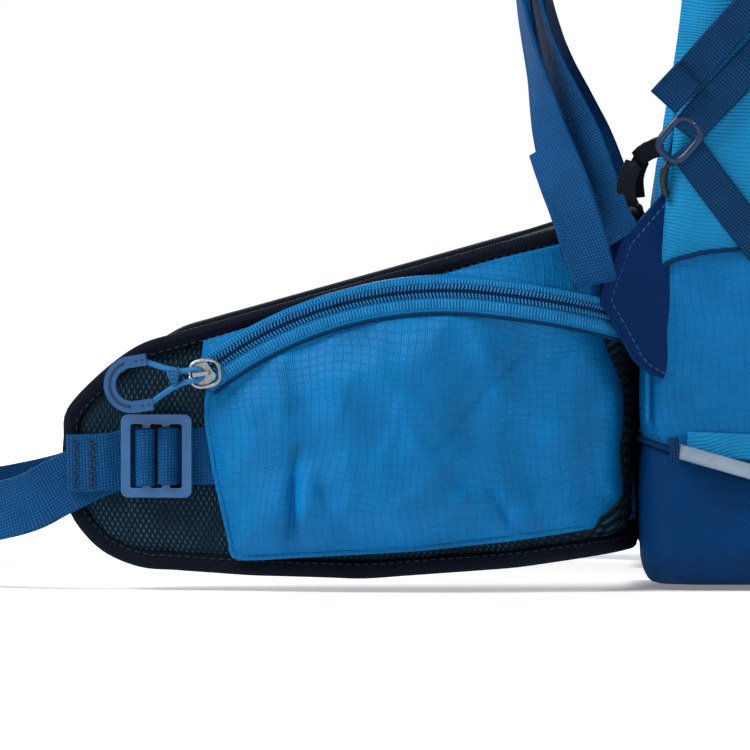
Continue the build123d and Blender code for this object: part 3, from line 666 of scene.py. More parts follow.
def bag_ring(z, shrink=0.0):
    """Points round the bag at a height, anticlockwise from the middle of its front."""
    half, back, front = half_width(z) - shrink, back_line(z) + shrink, front_line(z) - shrink
    pts = []
    for i in range(25):
        pts.append((-(half - 50) * i / 24 if i else 0.0, front))
    for i in range(1, 13):
        a = math.radians(90 + 90 * i / 12)
        pts.append((-(half - 50) + 50 * math.cos(a), front - 50 + 50 * math.sin(a)))
    for i in range(1, 33):
        pts.append((-half, lerp(front - 50, back + 16, i / 32)))
    for i in range(1, 7):
        a = math.radians(180 + 90 * i / 6)
        pts.append((-half + 16 + 16 * math.cos(a), back + 16 + 16 * math.sin(a)))
    for i in range(1, 6):
        pts.append((lerp(-half + 16, -115, i / 5), back))
    deep = 26 if z < 604 else back
    pts.append((-114.6, deep))
    for i in range(1, 12):
        pts.append((lerp(-114.6, 0, i / 12), deep))
    left = [(-x, d) for x, d in reversed(pts[1:])]
    return pts + [(0.0, deep)] + left


def wrinkle(p, size, seed, stretch=(1, 1, 1)):
    q = Vector((p[0] * stretch[0] / size, p[1] * stretch[1] / size, p[2] * stretch[2] / size + seed))
    return noise.noise(q) + 0.5 * noise.noise(q * 2.1)


def crease(p, size, seed, stretch=(1, 1, 1)):
    """Folds with a sharp crest, 0 to 1."""
    return max(0, 1 - 2.6 * abs(wrinkle(p, size, seed, stretch))) ** 2


def bottom_seam(depth):
    """Height of the seam between the bottom and the sides."""
    return line([(-6, 64), (41, 47.5), (90, 42), (240, 42)], depth)


DOOR_LOW = (90, 238.0)


def bag_rows():
    """Rows of points from the base to the top; one row follows the bottom seam."""
    heights = [1.5, 4, 8, 14, 20, 27, 35, None, 62, 66, 72, 80]
    while heights[-1] < 622:
        heights.append(heights[-1] + 7)
    heights += [630, 635, 638.5]
    rows = []
    base_in = {1.5: 9, 4: 5.2, 8: 2.4, 14: 0.4}
    for z in heights:
        ring = bag_ring(56 if z is None else z)
        row = []
        for x, d in ring:
            zz = bottom_seam(d) if z is None else z
            if z is not None and 27 <= z <= 35:
                zz = lerp(z, bottom_seam(d) - 50 + z, (z - 20) / 15)
            shrink = base_in.get(z, 0)
            if z and z > 600:
                k = (z - 600) / 38.5
                shrink = 26 * (1 - math.sqrt(max(0, 1 - k * k)))
            r = math.hypot(x, d - 110)
            row.append([x * (1 - shrink / r), d - (d - 110) * shrink / r, zz])
        rows.append(row)
    return rows


def dress(row_points):
    """The bag's cloth: full between its seams, with folds and wrinkles."""
    out = []
    for x, d, z in row_points:
        out_dir = Vector((x, (d - 110) * 1.1, 0)).normalized()
        hidden = abs(x) < 116 and d < 60
        amount = 0.0
        if not hidden:
            near = min(abs(z - bottom_seam(d)), abs(z - 545))
            pull = min(1, near / 24)
            p = (x, d, z)
            amount = pull * (1.6 * wrinkle(p, 46, 3) + 1.5 * crease(p, 60, 8, (1, 1, 0.5)) + 0.5 * wrinkle(p, 15, 5))
            amount -= 1.1 * max(0, 1 - near / 3.5)
            if z < bottom_seam(d) - 3:
                amount += 1.4 * crease(p, 34, 14, (1, 1, 0.28)) * pull
            amount = min(amount, 2.6)
            flat = min(1, max(0, z - 3) / 12)
            amount *= flat
        q = Vector((x, d, z)) + out_dir * amount
        out.append(at(*q))
    return out


rows = [dress(row) for row in bag_rows()]
count = len(rows[0])
seam_row = 7


def in_door(p):
    """Whether a point of the front lies in the opening."""
    x, d, z = p.x * 1000, p.y * 1000 - BACK, p.z * 1000
    if d < 150:
        return False
    up = (z - 90) / math.cos(math.atan(44 / 570))
    across = abs(x)
    if up < -2 or up > 445 or across > 99:
        return False
    corner_up, corner_across = up - 380, across - 35
    if corner_up > 0 and corner_across > 0:
        return math.hypot(corner_up, corner_across) < 65
    return True


def cap(rows_part, low):
    """Rows that close the bag's base or top towards its middle."""
    edge = rows_part
    middle = sum(edge, Vector()) / len(edge)
    closed = []
    for share in (0.12, 0.35, 0.7, 0.995):
        row = []
        for p in edge:
            q = p.lerp(middle, share)
            lift = 0.0008 * math.sin(min(1, share * 1.6) * math.pi) * (0 if low else 4)
            q.z = (0.0012 if low else p.z + lift)
            row.append(q)
        closed.append(row)
    return closed


lower = list(reversed(cap(rows[0], True))) + rows[:seam_row + 1]
upper = rows[seam_row:] + cap(rows[-1], False)
bag_bottom = cloth_grid("bag_bottom", lower, base_blue, 1.6, ring=True)
settle(bag_bottom, "pack", ["base_panel"], "coated_twill")
bag_upper = cloth_grid("bag_upper", upper, blue, 1.4, ring=True, keep=lambda p: not in_door(p))
settle(
    bag_upper, "pack",
    ["top_panel", "back_panel", "front_panel", "side_panel_left", "side_panel_right"], "ripstop",
)

# piped seams round the bag
def ring_path(row, out=1.0):
    pts = []
    for p in row:
        x, d, z = p.x * 1000, p.y * 1000 - BACK, p.z * 1000
        if abs(x) < 117 and d < 60:
            continue
        n = Vector((x, (d - 110) * 1.1, 0)).normalized()
        pts.append(Vector((x, d, z)) + n * out)
    half = next(i for i, p in enumerate(pts) if p.x > 0)
    return pts[half:] + pts[:half]


seam_points = ring_path(rows[seam_row], 1.2)
piping = sweep("bottom_seam_piping", seam_points, (0, 0, 1), round_section(1.3, 8), seam_tape)
settle(piping, "pack", slot="binding")
dashes("bottom_seam_stitches", [p + Vector((0, 0, 3.4)) for p in seam_points],
       [Vector((p.x, (p.y - 110) * 1.1, 0)) for p in seam_points], blue_thread, "pack", 2.6, 1.2, both=False)
top_row = min(range(len(rows)), key=lambda i: abs(rows[i][0].z - 0.545))
top_points = ring_path(rows[top_row], 1.0)
settle(sweep("top_seam_piping", top_points, (0, 0, 1), round_section(1.2, 8), seam_tape), "pack", slot="binding")
edge = [Vector((side_face(16, z) - 1.6, back_line(z) + 3.2, z)) for z in range(70, 600, 12)]
back_piping = sweep("back_seam_piping_left", smooth(edge, 6), (1, 0, 0), round_section(1.1, 8), blue)
settle(back_piping, "pack", slot="binding")
mirrored(back_piping)

# ------------------------------------------------------------------ stretch side pockets
top_edge = [(2, 330), (22, 330), (70, 240), (190, 216)]
low_edge = [(2, 134), (8, 139), (22, 142.5), (70, 147), (190, 147)]


def pocket_bulge(d, z):
    if z < 152 or not 70 < d < 186:
        return 0.0
    across = math.sin(math.pi * (d - 70) / 116)
    return 20 * across * ease((z - 150) / 60)


pocket_rows = []
for i in range(41):
    t = i / 40
    row = []
    for j in range(49):
        d = 2 + 188 * j / 48
        z = lerp(line(low_edge, d), line(top_edge, d), t)
        x = side_face(max(d, back_line(z) + 2), z) + 2.8
        d_out = max(d, back_line(z) - 0.5)
        p = (x, d, z)
        x += 0.8 * wrinkle(p, 30, 21) * math.sin(math.pi * min(t * 1.2, 1)) + pocket_bulge(d, z)
        x -= 2.6 * ease(1 - min(t, 1 - t, j / 48, 1 - j / 48) * 16)
        row.append(at(x, d_out, z))
    pocket_rows.append(row)
side_pocket = cloth_grid("side_pocket_left", pocket_rows, stretch, 1.0, inward=False, levels=0)
settle(side_pocket, "pack", "side_pocket_left", "stretch_net")
mirrored(side_pocket)
rim = [Vector((p.x * 1000 + 0.4, p.y * 1000 - BACK, p.z * 1000)) for p in pocket_rows[-1]]
mouth = sweep("side_pocket_mouth_left", rim, (0, 0, 1), flat_section(8, 1.6), tape_cloth("pocket_edge", rgb("0b4f80")))
settle(mouth, "pack", slot="binding")
mirrored(mouth)
foot = [Vector((p.x * 1000 + 0.6, p.y * 1000 - BACK, p.z * 1000)) for p in pocket_rows[0]]
foot_seam = sweep("side_pocket_seam_left", foot, (0, 0, 1), round_section(1.1, 8), seam_tape)
settle(foot_seam, "pack", slot="binding")
mirrored(foot_seam)

# ------------------------------------------------------------------ front flap, its zip and pocket
LEAN = math.atan(44 / 570)
DOOR = Vector((0, 240 - 20 * math.tan(LEAN), 90))
DOOR_UP = Vector((0, -math.sin(LEAN), math.cos(LEAN)))
DOOR_OUT = Vector((0, math.cos(LEAN), math.sin(LEAN)))


def door(x, up, out):
    return DOOR + Vector((x, 0, 0)) + DOOR_UP * up + DOOR_OUT * out


def door_edge(grow):
    """Points round the opening from its lower left, up and over."""
    half, high, corner = 95 + grow, 440 + grow, 60 + grow
    pts = [(half, 4 * i) for i in range(int((high - corner) / 4))]
    for i in range(13):
        a = math.radians(90 * i / 12)
        pts.append((half - corner + corner * math.cos(a), high - corner + corner * math.sin(a)))
    return pts + [(-x, y) for x, y in reversed(pts)]


def flap_rows():
    rows = []
    for i in range(65):
        up = 0.4 + 439.2 * i / 64
        half = 94.6
        if up > 380:
            half = 34.6 + math.sqrt(max(0, 3600 - (up - 380) ** 2))
        row = []
        for j in range(33):
            x = half * (2 * j / 32 - 1)
            inner = min(1, (half - abs(x)) / 20, up / 20, (440 - up) / 20)
            p = (x, 0, up)
            out = -0.2 + max(0, inner) * (0.9 * wrinkle(p, 44, 31) + 1.0 * crease(p, 70, 35))
            row.append(at(*door(x, up, min(out, 1.4))))
        rows.append(row)
    return rows


flap = cloth_grid("front_flap", flap_rows(), blue, 1.6, inward=False, levels=0)
settle(flap, "front_flap_body", "front_flap", "ripstop")

front_rows = []
for i in range(49):
    t = i / 48
    up = lerp(12, 290, t)
    row = []
    for j in range(41):
        x = 84.5 * (2 * j / 40 - 1)
        edge = (84.5 - abs(x)) / 14
        full = ease(min(edge, 1)) * ease(min(t * 5, 1))
        rise = lerp(24, 35, math.sin(math.pi * min(t * 0.8, 1))) if t < 0.6 else lerp(35, 29, (t - 0.6) / 0.4)
        p = (x, 0, up)
        out = 1.2 + full * (rise + 1.6 * wrinkle(p, 40, 41) - 3 * (abs(x) / 84.5) ** 2)
        row.append(at(*door(x, up, min(out, 37.6))))
    front_rows.append(row)
front_pocket = cloth_grid("front_pocket", front_rows, stretch, 1.0, inward=False, levels=0)
settle(front_pocket, "front_flap_body", "front_pocket", "stretch_net")
brim = [Vector((p.x * 1000, p.y * 1000 - BACK, p.z * 1000)) for p in front_rows[-1]]
settle(sweep("front_pocket_brim", brim, (0, 0, 1), flat_section(9, 1.8), seam_tape), "front_flap_body", slot="binding")


def zip_teeth(name, path, outs, material, body, offset, pitch=1.55, long=2.3, wide=0.95, high=1.0, lean=0.0):
    """Row of coil teeth beside a path of design points."""
    verts, faces = [], []
    pts = [Vector(p) for p in path]
    runs = [0]
    for a, b in zip(pts, pts[1:]):
        runs.append(runs[-1] + (b - a).length)
    k, n = 0, int(runs[-1] / pitch)
    ring = [(0.5 * math.cos(a), 0.5 * math.sin(a)) for a in [2 * math.pi * i / 6 for i in range(6)]]
    for i in range(n):
        s = (i + 0.5) * pitch
        while k < len(pts) - 2 and runs[k + 1] < s:
            k += 1
        t = (s - runs[k]) / (runs[k + 1] - runs[k])
        p = pts[k].lerp(pts[k + 1], t)
        out = outs[k].normalized() if isinstance(outs, list) else Vector(outs)
        along = (pts[k + 1] - pts[k]).normalized()
        across = out.cross(along).normalized()
        middle = p + across * offset
        axis = (across + along * lean).normalized()
        side = out.cross(axis)
        base = len(verts)
        for e in (-0.5, -0.36, 0.36, 0.5):
            r = 0.55 if abs(e) == 0.5 else 1.0
            for c, q in ring:
                verts.append(at(*(middle + axis * e * long + side * c * wide * r + out * (q * high * r))))
        for ringed in range(3):
            for q in range(6):
                w = (q + 1) % 6
                a, b = base + ringed * 6, base + (ringed + 1) * 6
                faces.append((a + q, a + w, b + w, b + q))
        faces.append(tuple(base + q for q in reversed(range(6))))
        faces.append(tuple(base + 18 + q for q in range(6)))
    obj = new_mesh(name, verts, faces, material)
    return settle(obj, body, slot="zip_coil")


chain_path = smooth([door(x, y, 0.6) for x, y in door_edge(6)][::2], 3)
chain_across = []
for i, p in enumerate(chain_path):
    along = (chain_path[min(i + 1, len(chain_path) - 1)] - chain_path[max(i - 1, 0)]).normalized()
    chain_across.append(DOOR_OUT.cross(along))
chain = sweep("flap_zip_tape", [p - DOOR_OUT * 0.7 for p in chain_path], chain_across, flat_section(13.5, 1.0), zip_tape)
settle(chain, "pack", "flap_zip_chain", "zip_coil")
for offset, lean in ((1.5, 0.25), (-1.5, -0.25)):
    zip_teeth("flap_zip_teeth_" + ("a" if offset > 0 else "b"), chain_path, DOOR_OUT, zip_coil, "pack", offset, lean=lean)

# ------------------------------------------------------------------ hip fins
TURN = math.radians(5)
OUT = Vector((math.cos(TURN), -math.sin(TURN), 0))
REAR = Vector((math.sin(TURN), math.cos(TURN), 0))
UP = Vector((0, 0, 1))
FLAT = Vector((120, -59.5, 0)) + OUT * 45


def flat(ahead, out, z):
    """Point over the straight part of the left fin."""
    return FLAT - REAR * ahead + OUT * out + UP * z


def fin_at(depth, out, z):
    """Point at a depth and height, a distance outside the fin's middle."""
    if depth <= -63.42:
        return flat((-63.42 - depth) / math.cos(TURN), out, z)
    a = math.asin(min(1, max(-1, (depth + 59.5) / 45)))
    normal = Vector((math.cos(a), math.sin(a), 0))
    return Vector((120, -59.5, 0)) + normal * (45 + out) + UP * z


def fin_run(s, out, z):
    """Point along the fin from its straight part's start, rearward where s is below 0."""
    if s >= 0:
        return flat(s, out, z)
    bend = 45 * math.radians(95)
    if -s <= bend:
        a = -TURN + (-s) / 45
        return Vector((120, -59.5, 0)) + Vector((math.cos(a), math.sin(a), 0)) * (45 + out) + UP * z
    return Vector((120 - (-s - bend), -14.5 + out, z))


FIN_HIGH = [(-247.5, 58), (-246.6, 62), (-244, 71), (-238, 83), (-229, 94.5), (-219, 101.5), (-205, 106.4), (2, 164.5)]
FIN_LOW = [(-247.5, 50), (-246.8, 46), (-244.5, 37), (-240, 27), (-232, 17), (-222, 10.8), (-212, 9.4), (-170, 6.6),
           (-120, 5.4), (-60, 10), (2, 19)]
FIN_TIP = 184.7


def fin_grid(inset, out):
    rows = []
    for i in range(61):
        t = i / 60
        s = lerp(-133, FIN_TIP - inset, t) if t < 0.8 else lerp(lerp(-133, FIN_TIP - inset, 0.8), FIN_TIP - inset, math.sin((t - 0.8) / 0.2 * math.pi / 2))
        d = fin_run(s, 0, 0).y
        low, high = line(FIN_LOW, d) + inset, line(FIN_HIGH, d) - inset
        if high < low:
            low = high = (low + high) / 2
        row = []
        for j in range(17):
            v = j / 16
            row.append(fin_run(s, out * (1 - abs(2 * v - 1) ** 8 * 0.35), lerp(low, high, v)))
        rows.append(row)
    return rows


def shell(name, outer, inner, material):
    """Closed form between two grids of design points with the same edges."""
    verts, faces = [], []
    rows_count, columns = len(outer), len(outer[0])
    for grid in (outer, inner):
        for row in grid:
            verts.extend(at(*p) for p in row)
    second = rows_count * columns
    for i in range(rows_count - 1):
        for j in range(columns - 1):
            a, b = i * columns + j, (i + 1) * columns + j
            faces.append((a, a + 1, b + 1, b))
            faces.append((second + a, second + b, second + b + 1, second + a + 1))
    border = [j for j in range(columns)]
    border += [i * columns + columns - 1 for i in range(1, rows_count)]
    border += [(rows_count - 1) * columns + j for j in range(columns - 2, -1, -1)]
    border += [i * columns for i in range(rows_count - 2, 0, -1)]
    for a, b in zip(border, border[1:] + border[:1]):
        faces.append((a, b, second + b, second + a))
    return recalc(new_mesh(name, verts, faces, material))


fin = shell("belt_fin_left", fin_grid(1.6, 5.6), fin_grid(1.6, -5.6), mesh_cloth)
puffed(fin, 3.5, 4, 1.6)
settle(fin, "pack", "belt_fin_left", "spacer_mesh")
fin_right = mirrored(fin)

# binding round the fin, with its stitch lines
edge_line = []
for s in [FIN_TIP * i / 40 - 133 * (1 - i / 40) for i in range(41)]:
    d = fin_run(s, 0, 0).y
    if d > -243:
        edge_line.append((s, line(FIN_HIGH, d)))
tip = [(FIN_TIP - 1.6, 76), (FIN_TIP + 0.1, 64), (FIN_TIP + 0.5, 53), (FIN_TIP - 0.8, 40), (FIN_TIP - 4.5, 29)]
lower_edge = []
for s in [FIN_TIP * i / 40 - 133 * (1 - i / 40) for i in range(40, -1, -1)]:
    d = fin_run(s, 0, 0).y
    if d > -241:
        lower_edge.append((s, line(FIN_LOW, d)))
edge_line = [(s, z) for s, z in edge_line if s < FIN_TIP - 4]
lower_edge = [(s, z) for s, z in lower_edge if s < FIN_TIP - 8]
outline = smooth([(s, 0, z) for s, z in edge_line[::2] + tip + lower_edge[::2]], 3)


def along_fin(points, out=0.0, inset=0.0):
    """Design points, normals and inward directions for a line of (run, 0, height) points."""
    made, normals, inward = [], [], []
    for i, p in enumerate(points):
        a, b = points[max(i - 1, 0)], points[min(i + 1, len(points) - 1)]
        tangent = Vector((b.x - a.x, 0, b.z - a.z)).normalized()
        inner = Vector((tangent.z, 0, -tangent.x))
        q = p + inner * inset
        here = fin_run(q.x, out, q.z)
        normal = (fin_run(q.x, out + 1, q.z) - here).normalized()
        step = fin_run(q.x + inner.x, out, q.z + inner.z) - here
        made.append(here)
        normals.append(normal)
        inward.append(step.normalized())
    return made, normals, inward


made, normals, inward = along_fin(outline, 0, 3.2)
binding = sweep("belt_binding_left", made, normals, box_section(16.2, 7.4, 3.0), edge_tape)
settle(binding, "pack", "belt_binding_left", "binding")
mirrored(binding)
for face, label in ((8.05, "outer"), (-8.05, "inner")):
    made, normals, inward = along_fin(outline, face, 5.6)
    if face < 0:
        normals = [-n for n in normals]
    dashes(f"belt_stitches_{label}_left", made, normals, thread, "pack", 2.3, 1.3, 0.5, 0.3)

# ------------------------------------------------------------------ hip pockets
ZIP_R, ZIP_BACK, ZIP_UP = 167.8, -85, -41.3


def zip_point(radius, angle, out=0.0):
    """Depth and height beside the zip's curve."""
    a = math.radians(angle)
    return (ZIP_BACK + (ZIP_R + radius) * math.cos(a) * math.cos(TURN), ZIP_UP + (ZIP_R + radius) * math.sin(a))


def arc_height(depth, radius):
    """Height of the zip's curve at a depth."""
    flat_run = (depth - ZIP_BACK) / math.cos(TURN)
    r = ZIP_R + radius
    return ZIP_UP + math.sqrt(max(0, r * r - flat_run * flat_run))


POCKET_LOW = [(-176, 14.6), (-172, 13.2), (-160, 14.0), (-100, 17.5), (-60, 22), (-16, 28), (-6, 30)]
POCKET_FRONT = [(14.6, -176), (30, -179.5), (50, -184), (72, -187.5), (82, -187), (92, -184)]


def pouch_x(depth):
    """How far the full part of the pocket stands out in plan."""
    return table([(-190, 170), (-150, 180.5), (-122, 187.2), (-100, 187.6), (-72, 181.5), (-43, 173.0), (-22, 162.5), (-5, 153)], depth)


def pocket_x(d, z):
    """Outer face of the pocket at a depth and height."""
    base = fin_at(d, 10.0, z).x
    roof_x = fin_at(d, 14.1, z).x
    top = arc_height(d, 6.8)
    low = line(POCKET_LOW, d)
    front = line(POCKET_FRONT, z)
    arc = arc_height(d, 0)
    edge = min(z - low, (d - front), (-5 - d) * 1.2)
    over = top - z
    rise = ease(edge / 9) * ease(over / 3.5)
    below = arc - 7 - z
    fat = ease(below / 26) * ease(edge / 20)
    x = lerp(base, roof_x, rise)
    room = pouch_x(d) - roof_x
    x = x + room * fat if room > 0 else lerp(x, pouch_x(d) - 1, fat)
    p = (0, d, z)
    loose = ease(below / 10) * ease(edge / 10)
    fold = 1.7 * wrinkle(p, 34, 51) + 1.6 * crease(p, 60, 53, (1, 1.15, 0.75)) + 0.9 * crease(p, 26, 55, (1, 1, 0.7)) + 0.4 * wrinkle(p, 11, 57) - 0.9
    # a tuck near the front of the pocket's bottom, and one behind its middle
    for centre, slope, foot_z, head_z, deep, wide in (
        (-153, 0.10, 11, 62, 4.2, 2.6),
        (-146, 0.08, 12, 54, -2.6, 3.8),
        (-127, -0.3, 12, 46, 2.2, 4.0),
        (-54, -0.55, 18, 50, 3.4, 3.0),
        (-70, -0.45, 18, 44, -1.8, 4.0),
        (-28, 0.5, 28, 96, 3.0, 4.0),
        (-178, -0.15, 18, 66, 2.0, 3.0),
        (-92, 0.9, 60, 108, 1.6, 3.6),
    ):
        if foot_z < z < head_z:
            run = (d - centre - slope * (z - foot_z)) / wide
            fade = math.sin(math.pi * (z - foot_z) / (head_z - foot_z)) ** 0.6
            fold -= deep * math.exp(-run * run) * fade
    return x + loose * fold


def pocket_rows_at(columns, rows_count):
    grid = []
    for i in range(rows_count + 1):
        v = i / rows_count
        row = []
        for j in range(columns + 1):
            u = j / columns
            foot_d = lerp(-176, -7, u)
            foot = Vector((foot_d, line(POCKET_LOW, foot_d)))
            head_a = lerp(129.6, 66, u)
            head = Vector(zip_point(6.2, head_a))
            z_mid = lerp(foot.y, head.y, v)
            bulge = (line(POCKET_FRONT, z_mid) - lerp(-176, zip_point(6.2, 129.6)[0], v)) * (1 - u) ** 3
            p = foot.lerp(head, v)
            d, z = p.x + bulge, p.y
            row.append(Vector((pocket_x(d, z), d, z)))
        grid.append(row)
    return grid


grid = pocket_rows_at(110, 84)
pocket = cloth_grid(
    "belt_pocket_left", [[at(*p) for p in row] for row in grid], pocket_blue, 1.2, inward=False, levels=1
)
settle(pocket, "pack", "belt_pocket_left", "pocket_ripstop")
pocket_right = mirrored(pocket)
foot_edge = [p + Vector((0.8, 0, 0.4)) for p in grid[0]]
front_edge = [row[0] + Vector((0.8, 0.3, 0)) for row in grid]
hem = smooth(list(reversed(front_edge))[::6] + foot_edge[6::8], 3)
hem_piece = sweep("belt_pocket_hem_left", hem, (1, 0, 0), box_section(2.4, 2.6, 0.9), pocket_blue)
settle(hem_piece, "pack", slot="pocket_ripstop")
mirrored(hem_piece)

# zip: two tapes with a seam, a dark middle strip that shows between the coil rows as painted shade in the gap, a dark
# seam ridge under the lower tape as painted shadow, and two rows of coil teeth
angles = [128.2 - 61.4 * i / 90 for i in range(91)]


def zip_line(radius, out):
    pts = []
    for a in angles:
        d, z = zip_point(radius, a)
        pts.append(fin_at(d, out, z))
    return pts


def zip_outs():
    outs = []
    for a in angles:
        d, z = zip_point(0, a)
        p = fin_at(d, 0, z)
        outs.append((fin_at(d, 5, z) - p).normalized())
    return outs


def zip_across():
    near, far = zip_line(-2, 15), zip_line(2, 15)
    return [(b - a).normalized() for a, b in zip(near, far)]


outs, acrosses = zip_outs(), zip_across()
# The middle strip, in dark webbing, shows only between the coil rows: painted shade in the gap.
for label, radius, width, out, material in (
    ("upper", 4.1, 3.4, 15.7, zip_tape), ("lower", -6.0, 6.6, 16.0, zip_tape), ("middle", 0, 5.4, 15.2, strap_dark),
):
    tape = sweep(f"belt_zip_tape_{label}_left", zip_line(radius, out), acrosses, flat_section(width, 1.0), material)
    settle(tape, "pack", "belt_zip_chain_left" if label == "middle" else (), "zip_coil")
    mirrored(tape)
# A dark round strip along the lower tape's edge: the seam's ridge, coloured dark as painted shadow under the seam.
seam_shadow = sweep("belt_zip_seam_left", zip_line(-9.6, 16.3), acrosses, round_section(0.8, 8), seam_tape)
settle(seam_shadow, "pack", slot="binding")
mirrored(seam_shadow)
for label, offset in (("a", 1.75), ("b", -1.75)):
    teeth = zip_teeth(f"belt_zip_teeth_{label}_left", zip_line(0, 16.3), outs, zip_coil, "pack",
                      offset, 1.5, 2.3, 0.95, 1.1, 0.3 if offset > 0 else -0.3)
    mirrored(teeth)
dashes("belt_zip_comb_left", zip_line(-5.6, 16.6), outs, light_thread, "pack", 0.75, 0.6, 4.2, 0.22)
dashes("belt_zip_row_left", zip_line(4.1, 16.3), outs, light_thread, "pack", 0.75, 0.6, 2.2, 0.22)

# ripstop between the zip and the fin's binding
gusset_rows = []
for i in range(13):
    v = i / 12
    row = []
    for j in range(61):
        d = lerp(-188, -7, j / 60)
        low, high = arc_height(d, 4.8), line(FIN_HIGH, d) - 6.2
        z = lerp(low, max(high, low + 0.6), v)
        puff_out = 8.3 + 4.6 * (1 - v) ** 2 + 0.6 * wrinkle((0, d, z), 20, 61) * math.sin(math.pi * v)
        row.append(at(*fin_at(d, puff_out, z)))
    gusset_rows.append(row)
gusset = cloth_grid("belt_gusset_left", gusset_rows, pocket_blue, 0.8, inward=False, levels=0)
settle(gusset, "pack", slot="pocket_ripstop")
mirrored(gusset)

# slider, its cord and its plastic tab
for side_name in ("left", "right"):
    bevelled(f"belt_slider_{side_name}", slider_metal, 0.5)
    bevelled(f"belt_pull_tab_{side_name}", pull_plastic, 1.1)
FIRST = math.radians(127.8)
slide_x = REAR * math.sin(FIRST) - UP * math.cos(FIRST)
slide_y = OUT.cross(slide_x)
zip_run = (FLAT.y - ZIP_BACK) / math.cos(TURN)
zip_middle = FLAT - REAR * zip_run + UP * ZIP_UP
place = zip_middle + OUT * 16 + REAR * (ZIP_R * math.cos(FIRST)) + UP * (ZIP_R * math.sin(FIRST))
pull_angle = math.radians(180 + 8.7 - (127.8 - 90))
along = slide_x * math.cos(pull_angle) + slide_y * math.sin(pull_angle)
hinge = place + OUT * (0.3 + 1.2 + 1.9)
pull_x = along
pull_y = along.cross(OUT) * -1
pull_z = pull_x.cross(pull_y)


def pull_at(u, v, w=0.0):
    return at(*(hinge + pull_x * u + pull_y * v + pull_z * w))


CORD_POINTS = [(25, 10.1), (11, 1.9), (0, 2.8), (0, -2.8), (11, -1.9), (25, -10.1)]


def cord_curve(name, points, dia, material, flip=1):
    name = fresh(name)
    curve = bpy.data.curves.new(name, "CURVE")
    curve.dimensions = "3D"
    curve.bevel_depth = dia / 2000
    curve.bevel_resolution = 4
    curve.resolution_u = 12
    curve.use_fill_caps = True
    spline = curve.splines.new("NURBS")
    spline.points.add(len(points) - 1)
    for target, p in zip(spline.points, points):
        target.co = (p.x * flip, p.y, p.z, 1)
    spline.order_u = 3
    spline.use_endpoint_u = True
    curve.materials.append(material)
    obj = bpy.data.objects.new(name, curve)
    scene.collection.objects.link(obj)
    return obj


cord_points = [pull_at(u, v) for u, v in CORD_POINTS]
for side_name, flip in (("left", 1), ("right", -1)):
    pull_cord = cord_curve(f"belt_pull_cord_{side_name}", cord_points, 2.4, cord_cloth, flip)
    settle(pull_cord, f"zip_pull_{side_name}", f"belt_pull_cord_{side_name}", "cord")



def loop_path(middle, first, second, a_size, b_size, steps=24, squareness=1.0):
    pts = []
    for step in range(steps + 1):
        a = 2 * math.pi * step / steps
        u = a_size * math.copysign(abs(math.cos(a)) ** squareness, math.cos(a))
        v = b_size * math.copysign(abs(math.sin(a)) ** squareness, math.sin(a))
        pts.append(middle + first * u + second * v)
    return pts


# wire bail on the slider, the knot of the cord, and slots in the tab; the slots and the tab's groove are darker
# plastic, painted shade in the openings and the groove
bail = sweep("belt_slider_bail_left", loop_path(hinge - pull_x * 1.5 - OUT * 0.2, pull_x, pull_y, 6.4, 5.6, squareness=0.7),
             OUT, round_section(0.85, 8), slider_metal)
settle(bail, "zip_slider_left", slot="slider_metal")
mirrored(bail)
for number, (u, tilt) in enumerate(((10.5, 0.35), (12.6, -0.3), (11.6, 0.0))):
    first = (pull_y + pull_x * tilt).normalized()
    ring = loop_path(hinge + pull_x * u, first, OUT, 3.1 - 0.25 * number, 1.9)
    turn_piece = sweep(f"belt_cord_knot_{number}_left", ring, pull_x, round_section(1.15, 8), cord_cloth)
    settle(turn_piece, "zip_pull_left", slot="cord")
    mirrored(turn_piece)
# The slots are darker plastic marks on the tab: painted shade in the openings.
for v in (9.5, -9.5):
    arm = [hinge + pull_x * u + pull_y * v + OUT * 2.0 for u in (22.8, 26, 29.4)]
    dashes(f"belt_tab_slots_{'a' if v > 0 else 'b'}_left", arm, OUT, slot_shade_plastic, "zip_pull_left", 1.7, 1.0, 1.5, 0.12)
# The groove is darker plastic: painted shade in the groove.
bow_groove = []
for step in range(25):
    a = math.radians(-78 + 156 * step / 24)
    bow_groove.append(hinge + pull_x * (29.5 + 9.5 * math.cos(a)) + pull_y * 9.5 * math.sin(a) + OUT * 1.55)
groove = sweep("belt_tab_groove_left", bow_groove, OUT, box_section(1.2, 1.5, 0.4), slot_shade_plastic)
settle(groove, "zip_pull_left", slot="lock_plastic")
mirrored(groove)

# ------------------------------------------------------------------ hip webbing, ladder locks and buckle
for side_name in ("left", "right"):
    bevelled(f"belt_lock_{side_name}", lock_plastic, 0.8)
    bevelled(f"strap_lock_{side_name}", black_plastic, 0.7)
    bevelled(f"sternum_clip_{side_name}", black_plastic, 0.5)
for node in ("hip_buckle_female", "hip_buckle_male", "sternum_buckle_female", "sternum_buckle_male"):
    bevelled(node, black_plastic, 0.6)
bevelled("frame_sheet", frame_plastic, 0)
bevelled("frame_wire", frame_metal, 0)
bevelled("flap_slider", slider_metal, 0.4)
bevelled("flap_pull", strap_dark, 0.4)


def local(p):
    return (p.x, p.y, p.z)


